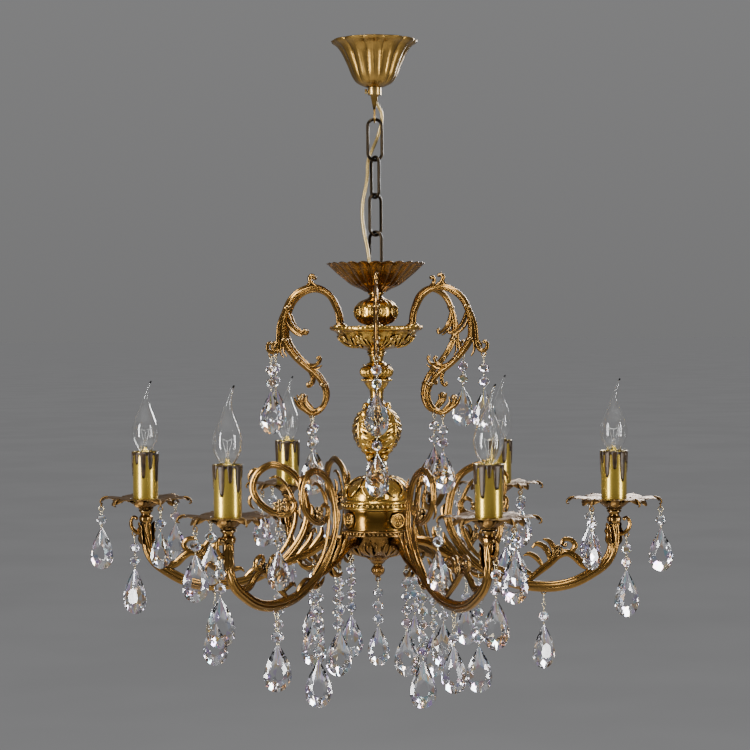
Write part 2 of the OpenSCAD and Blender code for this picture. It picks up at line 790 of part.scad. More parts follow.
module scroll(i) {
    color("peru")
        at_scroll(i)
            difference() {
                union() {
                    stem(reached(scroll_line), sides = 6);
                    stem(reached(scroll_hook_line), sides = 6);
                    translate([0, 0, 0.1]) cylinder(h = 4, r = 5.5, $fn = 8);
                    curl(reached_line(scroll_top_curl), 2.6);
                    curl(reached_line(scroll_inner_curl), 2.4);
                    curl(reached_line(scroll_leaf), 2.4);
                    curl(reached_line(scroll_low_curl), 2);
                    curl(reached_line(scroll_hook_end), 2.4);
                    translate([scroll_end_ball[0] * scroll_stretch, 0, scroll_end_ball[1]])
                        sphere(1.3 * scroll_half_w, $fn = 6);
                    for (eye = scroll_eyes)
                        eye_at(eye[0] * scroll_stretch, eye[1]);
                }
                translate([0, 0, -1]) cylinder(h = 9, r = scroll_screw_r + fit_gap, $fn = 8);
            }
}

module scroll_screws() {
    color("goldenrod")
        for (i = [0:SCROLL_COUNT - 1])
            rotate([0, 0, 30 + i * scroll_step])
                translate([scroll_foot_r, 0, bowl_top - flange_t - 0.1]) {
                    translate([0, 0, -0.5])
                        cylinder(h = flange_t + 6.5, r = scroll_screw_r, $fn = ROUND);
                    translate([0, 0, -scroll_head_t])
                        cylinder(h = scroll_head_t, r = scroll_head_r, $fn = ROUND);
                }
}

// ---------------------------------------------------------------- arms

// Main stem of an arm: from the candle's seat down, in to the drum, and up round its loop.
// Points are [out from the root, up from the root, share of the half width].
arm_line = [
    [261, 36, 1.25], [261, 22, 1.2], [260.5, 5, 1.1], [258, -14, 1], [249, -29.5, 1],
    [232.5, -42, 1], [210, -54, 1], [184, -60, 1], [156.5, -59.5, 1], [129, -54.5, 0.95],
    [102, -43, 0.9], [79.5, -28, 0.85], [60, -5, 0.8], [49, 18, 0.75], [47, 36, 0.72],
    [53, 65, 0.7], [66, 87, 0.68], [90.5, 98, 0.66], [109, 90, 0.66], [117.5, 76, 0.66],
    [118, 63, 0.66], [111, 49.5, 0.66], [98, 38.5, 0.66], [82.5, 33, 0.64],
    [69.5, 35, 0.6], [63, 44, 0.55], [66, 51.5, 0.5]
];
// Foot that joins the arm to the drum
arm_foot = [[80, -32, 0.8], [66, -25, 1], [44, -16, 1], [29, -5, 1], [14, -0.5, 0.95], [0.6, 0, 0.9]];
// Branch in the lower curve
arm_branch = [[243, -34, 0.8], [222, -33, 0.75], [209, -18, 0.7], [196, -17.5, 0.7],
              [184, -27, 0.7], [165, -40, 0.7], [148, -56, 0.6]];
arm_leaf = [[176, -30], [178, -12], [167, -4], [160, -11]];
arm_outer_hook = [[262, 10], [272, 9], [280, 17], [281, 26], [275, 30]];
arm_foot_hook = [[46, -18], [40, -26]];
arm_flower = [188, -14];
arm_rosette = [84, 42];
// Eyes: under the foot, under the lowest curve, on the outer hook and under the inner curve
arm_eyes = [[40, -24.5 - arm_half_w], [170, -63 - arm_half_w], [276.5, 4.4], [86, -37.5 - arm_half_w]];
arm_drop_eye = 1;

function stretched(points) = [for (p = points) [p[0] * arm_stretch, p[1], p[2] * arm_half_w]];
function stretched_line(points) = [for (p = points) [p[0] * arm_stretch, p[1]]];

module at_arm(i) {
    rotate([0, 0, arm_turn + (i - 1) * arm_step])
        translate([arm_root_r, 0, arm_root_z])
            children();
}

module at_candle(i) {
    rotate([0, 0, arm_turn + (i - 1) * arm_step])
        translate([candle_circle_r, 0, 0])
            children();
}

module arm(i) {
    seat_h = 5;
    color("peru")
        at_arm(i)
            difference() {
                union() {
                    stem(stretched(arm_line), sides = 6);
                    stem(stretched(arm_foot), sides = 6);
                    stem(stretched(arm_branch), sides = 6);
                    rotate([0, -90, 0])
                        translate([0, 0, -1])
                            cylinder(h = tenon_len + 1, r = tenon_r, $fn = 8);
                    translate([arm_reach, 0, candle_rise - seat_h])
                        cylinder(h = seat_h, r = 9, $fn = 8);
                    curl(stretched_line(arm_leaf), 3);
                    curl(stretched_line(arm_outer_hook), 2.6);
                    curl(stretched_line(arm_foot_hook), 2.4);
                    for (ball = [arm_flower, arm_rosette])
                        translate([ball[0] * arm_stretch, 0, ball[1]])
                            sphere(6, $fn = 6);
                    for (eye = arm_eyes)
                        eye_at(eye[0] * arm_stretch, eye[1]);
                }
                translate([arm_reach, 0, candle_rise - nipple_depth])
                    cylinder(h = nipple_depth + 1, r = nipple_r + 2 * fit_gap, $fn = 8);
            }
}

module arm_nuts() {
    color("silver")
        for (i = [1:ARM_COUNT])
            rotate([0, 0, arm_turn + (i - 1) * arm_step])
                translate([drum_r - base_wall - 0.9 - arm_nut_t, 0, arm_root_z])
                    rotate([0, 90, 0])
                        difference() {
                            rotate([0, 0, 30]) cylinder(h = arm_nut_t, r = arm_nut_r, $fn = 6);
                            translate([0, 0, -1])
                                cylinder(h = arm_nut_t + 2, r = tenon_r + fit_gap, $fn = ROUND);
                        }
}

// ---------------------------------------------------------------- candles

PETAL_COUNT = 6;
// Bobeche section above and below: share of the radius, and height above the floor
bobeche_top = [[0.085, 0], [0.3, 0], [0.62, 1.6], [0.86, 3.4], [1, -4.5]];
bobeche_under = [[1, -4.5], [0.86, 3.4], [0.62, 1.6], [0.32, 0], [0.14, -7.5], [0.14, -12.4],
                 [0.085, -12.4]];
bobeche_tip_z = -4.5;
eye_petals = [0, 120, 240];

// Edge of the petals: full radius at a tip, a little less between tips
function petal_reach(angle) = 1 - 0.14 * (1 - abs(cos(angle * PETAL_COUNT / 2)));

module bobeche_dish() {
    columns = 2 * PETAL_COUNT;
    function ring(point, drop) = [for (j = [0:columns - 1])
        let (
            angle = 360 * j / columns,
            share = point[0] * (point[0] < 0.7 ? 1 : petal_reach(angle))
        )
        [bobeche_r * share * cos(angle), bobeche_r * share * sin(angle), point[1] - drop]];
    corners = concat([for (p = bobeche_top) each ring(p, 0)],
                     [for (p = bobeche_under) each ring(p, bobeche_t)]);
    rings = len(bobeche_top) + len(bobeche_under);
    faces = [for (i = [0:rings - 1]) for (j = [0:columns - 1])
        [i * columns + j, i * columns + (j + 1) % columns,
         ((i + 1) % rings) * columns + (j + 1) % columns, ((i + 1) % rings) * columns + j]];
    polyhedron(points = corners, faces = faces, convexity = 6);
}

module bobeche() {
    under_tip = bobeche_tip_z - bobeche_t;
    translate([0, 0, bobeche_floor]) {
        bobeche_dish();
        for (turn = eye_petals)
            rotate([0, 0, turn]) {
                translate([rim_eye_out, 0, under_tip - 2 * eye_r + 0.6])
                    rotate([0, 0, 90])
                        eye_at(0, 0);
                hull() {
                    translate([rim_eye_out - 0.8, -1, under_tip - 0.6]) cube([1.6, 2, 1]);
                    translate([rim_eye_out - 4, -1, bobeche_tip_z + 1]) cube([3, 2, 1]);
                }
            }
    }
}

rim_eye_out = bobeche_r - 1.6;
rim_pivot_z = bobeche_floor + bobeche_tip_z - bobeche_t - 2 * eye_r + 0.6;

module bobeches() {
    color("peru")
        for (i = [1:ARM_COUNT]) at_candle(i) bobeche();
}

module candle_sleeves() {
    color("darkkhaki")
        for (i = [1:ARM_COUNT])
            at_candle(i)
                translate([0, 0, bobeche_floor + 0.1])
                    difference() {
                        cylinder(h = sleeve_h - 0.1, r = sleeve_r, $fn = ROUND);
                        translate([0, 0, -1])
                            cylinder(h = sleeve_h + 2, r = sleeve_r - sleeve_wall, $fn = ROUND);
                    }
}

module lampholders() {
    foot_h = 3;
    color("dimgray")
        for (i = [1:ARM_COUNT])
            at_candle(i)
                difference() {
                    union() {
                        translate([0, 0, cap_bottom - 8])
                            cylinder(h = holder_top - cap_bottom + 8, r = holder_r, $fn = ROUND);
                        translate([0, 0, bobeche_floor + 0.2])
                            cylinder(h = foot_h, r = holder_r, $fn = ROUND);
                        translate([0, 0, seat_z - nipple_depth + 1])
                            cylinder(h = cap_bottom - seat_z + nipple_depth - 3, r = nipple_r, $fn = ROUND);
                    }
                    translate([0, 0, cap_bottom - 0.4])
                        cylinder(h = cap_h + 5, r = cap_r + fit_gap, $fn = ROUND);
                }
}

// Bulb outline above the cap: [sideways, share of the height, share of the radius]
bulb_line = [[0, 0, 0.4], [0, 0.07, 0.56], [0, 0.16, 0.84], [0, 0.27, 1], [0, 0.38, 0.96],
             [0, 0.5, 0.74], [0.3, 0.62, 0.46], [1, 0.72, 0.25], [3, 0.84, 0.13],
             [6, 0.94, 0.08], [9, 1, 0.04]];

module bulb(i) {
    glass_bottom = cap_bottom + cap_h - 0.5;
    color("white")
        at_candle(i) {
            translate([0, 0, cap_bottom])
                cylinder(h = cap_h, r = cap_r, $fn = ROUND);
            rotate([0, 0, -arm_turn - (i - 1) * arm_step])
                translate([0, 0, glass_bottom])
                    stem([for (p = bulb_line) [p[0], p[1] * bulb_h, p[2] * bulb_r]],
                         depth = 1, sides = 8);
        }
}

// ---------------------------------------------------------------- drops

// A cut bead: a short cylinder with a cone above and below
module bead() {
    rotate_extrude($fn = 24)
        polygon([[0, 0.8 * bead_r], [0.4 * bead_r, 0.8 * bead_r], [bead_r, 0.25 * bead_r],
                 [bead_r, -0.25 * bead_r], [0.4 * bead_r, -0.8 * bead_r], [0, -0.8 * bead_r]]);
}

// Almond outline: share of the height down from the top, and share of the half width
almond_curve = [[0, 0.06], [0.32, 0.6], [0.58, 0.98], [0.76, 0.97], [0.93, 0.58], [1, 0.12]];

// A flat cut almond hanging from its narrow top, facing along Y
module almond(size) {
    sides = 6;
    rows = len(almond_curve);
    corners = [for (p = almond_curve) for (k = [0:sides - 1])
        [size * p[1] * almond_w / 2 * cos(60 * k),
         size * p[1] * almond_t / 2 * sin(60 * k) / sin(60),
         -size * p[0] * almond_h]];
    walls = [for (i = [0:rows - 2]) for (k = [0:sides - 1])
        [i * sides + k, i * sides + (k + 1) % sides, (i + 1) * sides + (k + 1) % sides,
         (i + 1) * sides + k]];
    top = [[for (k = [sides - 1:-1:0]) k]];
    foot = [[for (k = [0:sides - 1]) (rows - 1) * sides + k]];
    polyhedron(points = corners, faces = concat(top, foot, walls), convexity = 2);
}

// A whole drop with its pivot at the origin and its ring in the YZ plane
module drop(lead, beads, size, face = 0) {
    ring_z = ring_rise - drop_ring_r;
    first = -lead - bead_r;
    top = -lead - beads * bead_pitch;
    pin_top = ring_z - drop_ring_r;
    translate([0, 0, ring_z])
        rotate([0, 90, 0])
            rotate_extrude($fn = 24)
                translate([drop_ring_r, 0])
                    circle(pin_r, $fn = 16);
    translate([0, 0, top - 3]) cylinder(h = pin_top - top + 3, r = pin_r, $fn = 16);
    for (i = [0:beads - 1])
        translate([0, 0, first - i * bead_pitch]) bead();
    rotate([0, 0, face]) translate([0, 0, top]) almond(size);
}

// Turns of successive almonds away from facing the front, in degrees
drop_turns = [12, -22, 5, 26, -14, 18, -7];
function facing(k) = drop_turns[k % len(drop_turns)];
function arm_angle(i) = arm_turn + (i - 1) * arm_step;
function scroll_angle(i) = 30 + (i - 1) * scroll_step + scroll_yaws[i - 1];

module rim_drop(i) {
    color("lightcyan")
        at_candle(i)
            translate([rim_eye_out, 0, rim_pivot_z])
                rotate([0, 0, 90])
                    drop(rim_lead, 1, 0.92, facing(i) - arm_angle(i) - 90);
}

module arm_drop(i) {
    eye = arm_eyes[arm_drop_eye];
    color("lightcyan")
        at_arm(i)
            translate([eye[0] * arm_stretch, 0, eye[1]])
                drop(arm_lead, 1, 0.95, facing(i + 2) - arm_angle(i));
}

module finial_drop() {
    color("lightcyan")
        translate([0, 0, finial_bottom + eye_wire_r - 2 * eye_r])
            drop(finial_lead, 3, 0.85);
}

// The drops that hang still: inner rims, outer hooks, arm feet, lower curves and scrolls
module crystal_drops() {
    color("lightcyan") {
        for (i = [1:ARM_COUNT]) {
            at_candle(i)
                for (turn = [120, 240])
                    rotate([0, 0, turn])
                        translate([rim_eye_out, 0, rim_pivot_z])
                            rotate([0, 0, 90])
                                drop(rim_lead, 1, 0.8, facing(i + turn / 120) - arm_angle(i) - turn - 90);
            at_arm(i) {
                translate([arm_eyes[2][0] * arm_stretch, 0, arm_eyes[2][1]])
                    drop(hook_lead, 2, 1, facing(i + 4) - arm_angle(i));
                translate([arm_eyes[0][0] * arm_stretch, 0, arm_eyes[0][1]])
                    drop(hook_lead, 4, 0.95, facing(i + 5) - arm_angle(i));
                translate([arm_eyes[3][0] * arm_stretch, 0, arm_eyes[3][1]])
                    drop(hook_lead, 5, 1, facing(i + 1) - arm_angle(i));
            }
        }
        for (i = [1:SCROLL_COUNT])
            at_scroll(i) {
                translate([scroll_eyes[0][0] * scroll_stretch, 0, scroll_eyes[0][1]])
                    drop(hook_lead, 2, 0.9, facing(i) - scroll_angle(i));
                translate([scroll_eyes[1][0] * scroll_stretch, 0, scroll_eyes[1][1]])
                    drop(hook_lead, 2, 0.92, facing(i + 3) - scroll_angle(i));
            }
    }
}

// ---------------------------------------------------------------- output

ceiling_strap();
hanging_stem();
canopy();
canopy_collar();
set_screw();
hanging_loop();
for (i = [1:LINK_COUNT])
    chain_link(i);
supply_cord();
body_loop();
upper_dish();
embossed_ball();
scroll_bowl();
waist_ring();
leaf_vase();
drum_dome();
drum_body();
drum_base();
finial();
centre_rod();
rod_nuts();
for (i = [1:SCROLL_COUNT])
    scroll(i);
scroll_screws();
for (i = [1:ARM_COUNT])
    arm(i);
arm_nuts();
bobeches();
candle_sleeves();
lampholders();
for (i = [1:ARM_COUNT])
    bulb(i);
for (i = [1:ARM_COUNT])
    rim_drop(i);
for (i = [1:ARM_COUNT])
    arm_drop(i);
finial_drop();
crystal_drops();
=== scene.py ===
import json
import math

import bmesh
import bpy
import numpy as np
from mathutils import Matrix, Vector


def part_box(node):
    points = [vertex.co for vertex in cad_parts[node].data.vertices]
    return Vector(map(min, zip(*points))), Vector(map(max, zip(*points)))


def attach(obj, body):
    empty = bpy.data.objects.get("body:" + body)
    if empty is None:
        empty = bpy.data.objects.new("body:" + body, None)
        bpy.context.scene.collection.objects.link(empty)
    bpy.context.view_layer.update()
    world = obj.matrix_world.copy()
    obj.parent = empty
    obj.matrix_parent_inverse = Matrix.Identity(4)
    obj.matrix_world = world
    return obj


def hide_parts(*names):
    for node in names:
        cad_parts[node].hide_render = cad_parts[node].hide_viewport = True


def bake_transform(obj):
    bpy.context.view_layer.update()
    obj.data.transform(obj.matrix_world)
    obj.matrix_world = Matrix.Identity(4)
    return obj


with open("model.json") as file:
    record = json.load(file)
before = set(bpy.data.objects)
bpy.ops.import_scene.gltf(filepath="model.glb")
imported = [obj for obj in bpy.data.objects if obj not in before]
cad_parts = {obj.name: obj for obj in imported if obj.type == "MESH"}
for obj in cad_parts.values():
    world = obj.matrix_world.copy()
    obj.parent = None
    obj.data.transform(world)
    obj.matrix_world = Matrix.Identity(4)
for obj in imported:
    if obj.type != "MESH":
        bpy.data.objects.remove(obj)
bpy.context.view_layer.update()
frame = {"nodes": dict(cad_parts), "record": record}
record = frame["record"]
joints = {j["name"]: j for j in record["behaviour"]["joints"]}
TAU = 2 * math.pi
MM = 0.001
FIXTURE = "fixture"
MOUNT = "ceiling_mount"


# ------------------------------------------------------------ camera

camera_data = bpy.data.cameras.new("camera")
camera_data.lens = 93.5
camera_data.sensor_width = 36
camera_data.clip_end = 4000
camera = bpy.data.objects.new("camera", camera_data)
camera.matrix_world = (
    Matrix.Translation((0, -2.533, -0.384))
    @ Matrix.Rotation(math.radians(0.044), 4, "Z")
    @ Matrix.Rotation(math.radians(90 - 1.1), 4, "X")
    @ Matrix.Rotation(math.radians(-0.42), 4, "Z")
)
bpy.context.scene.collection.objects.link(camera)
bpy.context.scene.camera = camera


# ------------------------------------------------------------ mesh tools, in mm

def smooth(points, steps):
    """A Catmull-Rom curve through the points, whose columns may hold anything."""
    p = np.array(points, float)
    last = len(p) - 1
    out = []
    for i in range(last):
        a, b, c, d = p[max(i - 1, 0)], p[i], p[i + 1], p[min(i + 2, last)]
        for s in range(steps):
            t = s / steps
            out.append(0.5 * (2 * b + (c - a) * t + (2 * a - 5 * b + 4 * c - d) * t * t
                              + (3 * b - a - 3 * c + d) * t ** 3))
    out.append(p[last])
    return np.array(out)


def turn(axis, degrees):
    return Matrix.Rotation(math.radians(degrees), 4, axis)


def move(x, y, z):
    return Matrix.Translation((x, y, z))


def circle(n, phase=0.0):
    """A round section as [inward, across] pairs."""
    return [(math.cos(TAU * (k + phase) / n), math.sin(TAU * (k + phase) / n)) for k in range(n)]


def ridged(n=20, ribs=3, depth=0.2):
    """A round section whose two broad faces carry ribs that run along the stem."""
    out = []
    for k in range(n):
        a = TAU * k / n
        side = abs(math.sin(a))
        r = 1 - depth * side ** 1.5 * (0.5 - 0.5 * math.cos(ribs * TAU * (math.cos(a) + 1) / 2))
        out.append((r * math.cos(a), r * math.sin(a)))
    return out


RIBS, THIN_RIBS = ridged(20, 2, 0.34), ridged(18, 2, 0.34)


class Shape:
    """Points in mm and faces, each with a material number and smooth or flat shading."""

    def __init__(self):
        self.v, self.f, self.mat, self.flat = [], [], [], []

    def add(self, points, faces, mat=0, flat=False, at=None):
        base = len(self.v)
        if at is not None:
            m = np.array(at)
            points = np.asarray(points, float) @ m[:3, :3].T + m[:3, 3]
        self.v.extend([tuple(p) for p in points])
        self.f.extend([[base + k for k in f] for f in faces])
        self.mat.extend([mat] * len(faces))
        self.flat.extend([flat] * len(faces))

    def merge(self, other, at=None):
        base = len(self.v)
        points = np.asarray(other.v, float)
        if at is not None:
            m = np.array(at)
            points = points @ m[:3, :3].T + m[:3, 3]
        self.v.extend([tuple(p) for p in points])
        self.f.extend([[base + k for k in f] for f in other.f])
        self.mat.extend(other.mat)
        self.flat.extend(other.flat)

    def rows(self, rows, wrap=False, mat=0, flat=False, at=None):
        """Rows of points, each a closed loop. wrap joins the last row to the first; otherwise both
        end rows are capped."""
        n, c = len(rows), len(rows[0])
        points = np.concatenate([np.asarray(r, float) for r in rows])
        faces = []
        for i in range(n if wrap else n - 1):
            j = (i + 1) % n
            for k in range(c):
                m = (k + 1) % c
                faces.append((i * c + k, i * c + m, j * c + m, j * c + k))
        if not wrap:
            faces.append(tuple(range(c - 1, -1, -1)))
            faces.append(tuple((n - 1) * c + k for k in range(c)))
        self.add(points, faces, mat, flat, at)

    def stem(self, points, depth=0.8, section=None, steps=4, mat=0, at=None, y=0.0):
        """A stem in the XZ plane through [out, up, half width] points, with rounded ends."""
        section = section or circle(10)
        p = smooth(points, steps)
        way = np.gradient(p[:, :2], axis=0)
        way /= np.linalg.norm(way, axis=1)[:, None]
        rows = []
        last = len(p) - 1

        def ring(i, along, scale):
            h = p[i, 2] * scale
            cx, cz = p[i, 0] + along * way[i, 0] * p[i, 2], p[i, 1] + along * way[i, 1] * p[i, 2]
            rows.append([(cx - way[i, 1] * h * a, y + h * depth * b, cz + way[i, 0] * h * a)
                         for a, b in section])

        ring(0, -0.75, 0.45)
        ring(0, -0.4, 0.85)
        for i in range(last + 1):
            ring(i, 0, 1)
        ring(last, 0.4, 0.85)
        ring(last, 0.75, 0.45)
        self.rows(rows, mat=mat, at=at)

    def tube(self, points, r, n=8, wrap=False, mat=0, at=None, flat=False):
        """A round tube along 3D points, with a steady frame."""
        p = np.array(points, float)
        way = (np.roll(p, -1, 0) - np.roll(p, 1, 0)) if wrap else np.gradient(p, axis=0)
        way /= np.linalg.norm(way, axis=1)[:, None]
        side = np.cross(way[0], (0.3, 0.2, 0.93))
        side /= np.linalg.norm(side)
        rows = []
        for i in range(len(p)):
            side = side - way[i] * (side @ way[i])
            side /= np.linalg.norm(side)
            up = np.cross(way[i], side)
            rr = r[i] if hasattr(r, "__len__") else r
            rows.append([p[i] + rr * (math.cos(TAU * k / n) * side + math.sin(TAU * k / n) * up)
                         for k in range(n)])
        self.rows(rows, wrap=wrap, mat=mat, at=at, flat=flat)

    def ring(self, big, small, n=20, m=8, squash=1.0, mat=0, at=None):
        """A wire ring in the XZ plane."""
        self.tube([(big * math.cos(TAU * k / n), 0, squash * big * math.sin(TAU * k / n))
                   for k in range(n)], small, m, wrap=True, mat=mat, at=at)

    def turned(self, outline, n=96, mod=None, wrap=True, mat=0, at=None, flat=False):
        """A body of revolution from [radius, height] points. mod(r, z, angle, i) may change r and z."""
        rows = []
        for i, (r, z) in enumerate(outline):
            row = []
            for k in range(n):
                a = TAU * k / n
                rr, zz = mod(r, z, a, i) if mod else (r, z)
                row.append((rr * math.cos(a), rr * math.sin(a), zz))
            rows.append(row)
        self.rows(rows, wrap=wrap, mat=mat, at=at, flat=flat)

    def bead(self, r, at=None, mat=0, n=10, squash=1.0):
        """A small round boss."""
        rows = []
        for i in range(1, 6):
            a = math.pi * i / 6
            rows.append([(r * math.sin(a) * math.cos(TAU * k / n), r * math.sin(a) * math.sin(TAU * k / n),
                          squash * r * math.cos(a)) for k in range(n)])
        self.rows(rows, mat=mat, at=at)

    def leaf(self, spine, width, lobes=4, cup=0.25, thick=1.2, vein=0.8, mat=0, at=None, nu=22, nv=9,
             jag=0.22, envelope=None):
        """A leaf along [out, up] points in the XZ plane, spread across Y, with lobed edges and ribs."""
        p = smooth(spine, max(2, nu // (len(spine) - 1)))
        way = np.gradient(p, axis=0)
        way /= np.linalg.norm(way, axis=1)[:, None]
        n = len(p)
        rows = []
        for i in range(n):
            t = i / (n - 1)
            env = envelope(t) if envelope else math.sin(math.pi * min(1, 0.12 + 0.88 * t) ** 0.8) ** 0.7
            w = width * (env * (1 - jag * (0.5 + 0.5 * math.cos(TAU * lobes * t))) + 0.03)
            normal = np.array((-way[i, 1], way[i, 0]))
            front, back = [], []
            for k in range(nv):
                s = 2 * k / (nv - 1) - 1
                side_ribs = 0.5 * math.cos(TAU * (lobes * t - 0.9 * abs(s))) * abs(s)
                ribs = vein * (math.exp(-(s / 0.16) ** 2) + side_ribs) * min(1, env * 1.5)
                lift = -cup * w * s * s + ribs
                at_t = thick * (0.25 + 0.75 * (1 - s * s)) * min(1, env + 0.15)
                x, z = p[i] + normal * lift
                front.append((x, w * s, z))
                x, z = p[i] + normal * (lift - at_t)
                back.append((x, w * s, z))
            rows.append(front + back[::-1])
        self.rows(rows, mat=mat, at=at)

    def facets(self, points, at=None, mat=0):
        """The convex solid round the points, with flat faces."""
        bm = bmesh.new()
        for p in points:
            bm.verts.new(p)
        made = bmesh.ops.convex_hull(bm, input=bm.verts)
        inner = [g for g in made["geom_interior"] if isinstance(g, bmesh.types.BMVert)]
        bmesh.ops.delete(bm, geom=inner, context="VERTS")
        bmesh.ops.dissolve_limit(bm, angle_limit=0.02, verts=bm.verts, edges=bm.edges)
        bm.verts.index_update()
        self.add([tuple(v.co) for v in bm.verts], [[v.index for v in f.verts] for f in bm.faces],
                 mat, True, at)
        bm.free()

    def mesh(self, name, materials, tints=False):
        data = bpy.data.meshes.new(name)
        data.from_pydata([(x * MM, y * MM, z * MM) for x, y, z in self.v], [], self.f)
        for m in materials:
            data.materials.append(m)
        data.polygons.foreach_set("material_index", self.mat)
        data.polygons.foreach_set("use_smooth", [not flat for flat in self.flat])
        bm = bmesh.new()
        bm.from_mesh(data)
        bmesh.ops.recalc_face_normals(bm, faces=bm.faces)
        bm.to_mesh(data)
        bm.free()
        if tints:
            paint_facets(data)
        data.update()
        return data


# Facet tints: near whites, greys painted as dark reflections, and colours painted as the crystal's flashes of
# fire and iridescence.
TINTS = ([(0.97, 0.98, 1.0)] * 12 + [(0.45, 0.45, 0.50)] * 4
         + [(1.0, 0.42, 0.10), (0.60, 0.34, 1.0), (0.30, 0.82, 0.98), (1.0, 0.45, 0.60), (0.35, 0.52, 1.0),
            (1.0, 0.72, 0.25), (1.0, 0.60, 0.20), (0.72, 0.50, 1.0)])


def paint_facets(data):
    """Gives each facet its own tint, full on small facets and faint on large ones: colours that paint the
    flashes of the crystal's iridescent coat and fire, and greys that paint dark reflections.
    """
    layer = data.color_attributes.new("tint", "FLOAT_COLOR", "CORNER")
    state = 12345
    colours = np.ones((len(data.loops), 4), np.float32)
    for face in data.polygons:
        state = (state * 1103515245 + 12345) % 2147483648
        share = 1 if face.area < 7e-5 else 0.5 if face.area < 1.4e-4 else 0.15
        tint = TINTS[(state >> 8) % len(TINTS)]
        colours[list(face.loop_indices), :3] = [1 - share * (1 - c) for c in tint]
    layer.data.foreach_set("color", colours.ravel())


def piece(name, data, body, nodes=(), at=None):
    """A piece of the object on its CAD body. at is a matrix in mm."""
    obj = bpy.data.objects.new(name, data)
    bpy.context.scene.collection.objects.link(obj)
    if at is not None:
        m = at.copy()
        m.translation = m.translation * MM
        obj.matrix_world = m
    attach(obj, body)
    if nodes:
        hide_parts(*nodes)
    return obj


def casting(shape, name, paint, node, body=FIXTURE):
    """The piece that stands for one CAD node, made where it stays."""
    piece(name, shape.mesh(name, [paint]), body, [node])


# ------------------------------------------------------------ materials

class Nodes:
    """A material with its Principled shader and short ways to add nodes."""

    def __init__(self, name):
        self.material = bpy.data.materials.new(name)
        self.material.use_nodes = True
        self.tree = self.material.node_tree
        self.shader = self.tree.nodes["Principled BSDF"]

    def node(self, kind, **values):
        node = self.tree.nodes.new("ShaderNode" + kind)
        for key, value in values.items():
            if hasattr(node, key):
                setattr(node, key, value)
            else:
                node.inputs[key.replace("_", " ")].default_value = value
        return node

    def link(self, source, target):
        self.tree.links.new(source, target)

    def set(self, **values):
        for key, value in values.items():
            self.shader.inputs[key.replace("_", " ")].default_value = value

    def noise(self, scale, detail=4, rough=0.55, stretch=None):
        place = self.node("TexCoord").outputs["Object"]
        if stretch:
            mapping = self.node("Mapping")
            mapping.inputs["Scale"].default_value = stretch
            self.link(place, mapping.inputs["Vector"])
            place = mapping.outputs["Vector"]
        noise = self.node("TexNoise", Scale=scale, Detail=detail, Roughness=rough)
        self.link(place, noise.inputs["Vector"])
        return noise.outputs["Fac"]

    def ramp(self, source, *stops):
        ramp = self.node("ValToRGB")
        els = ramp.color_ramp.elements
        while len(els) < len(stops):
            els.new(0.5)
        for el, (pos, colour) in zip(els, stops):
            el.position = pos
            el.color = (*colour, 1) if len(colour) == 3 else colour
        self.link(source, ramp.inputs["Fac"])
        return ramp.outputs["Color"]

    def mix(self, factor, a, b, blend="MIX"):
        mix = self.node("Mix", data_type="RGBA", blend_type=blend)
        for value, socket in ((factor, mix.inputs[0]), (a, mix.inputs[6]), (b, mix.inputs[7])):
            if hasattr(value, "links"):
                self.link(value, socket)
            elif hasattr(value, "__len__"):
                socket.default_value = (*value, 1)
            else:
                socket.default_value = value
        return mix.outputs[2]

    def bump(self, height, strength, distance):
        bump = self.node("Bump", Strength=strength, Distance=distance)
        self.link(height, bump.inputs["Height"])
        self.link(bump.outputs["Normal"], self.shader.inputs["Normal"])


def metal_with_patina_and_painted_light(name, recess, body, bright, rough=(0.26, 0.44), reach=0.006, scale=90.0, grain=0.25):
    """Cast or spun metal with blotchy patina, painted shade in its recesses and creases (standing also for
    the dark patina kept in hollows), and a painted highlight colour on its convex ridges.
    """
    n = Nodes(name)
    patina = n.noise(scale, 6, 0.6)
    fine = n.noise(scale * 9, 3, 0.6)
    hidden = n.node("AmbientOcclusion", samples=6, Distance=reach).outputs["AO"]
    curvature = n.node("NewGeometry").outputs["Pointiness"]
    tone = n.ramp(patina, (0.32, tuple(0.72 * c for c in body)), (0.66, body))
    # Convex pointiness lifts the ridges toward the bright colour: a painted highlight.
    ridge_highlight = n.ramp(curvature, (0.55, (0, 0, 0)), (0.72, (0.6, 0.6, 0.6)))
    tone = n.mix(ridge_highlight, tone, bright)
    # Ambient occlusion and concave pointiness blend in the recess colour: painted shade in recesses and
    # creases, also standing for the dark patina kept in hollows.
    depth = n.ramp(hidden, (0.34, (0, 0, 0)), (0.92, (1, 1, 1)))
    cavity = n.ramp(curvature, (0.43, (0.12, 0.12, 0.12)), (0.495, (1, 1, 1)))
    depth = n.mix(1.0, depth, cavity, "MULTIPLY")
    n.link(n.mix(depth, recess, tone), n.shader.inputs["Base Color"])
    spread = n.node("MapRange", To_Min=rough[0], To_Max=rough[1])
    n.link(fine, spread.inputs["Value"])
    n.link(spread.outputs["Result"], n.shader.inputs["Roughness"])
    n.set(Metallic=1.0)
    n.bump(fine, grain, 0.0002)
    return n.material


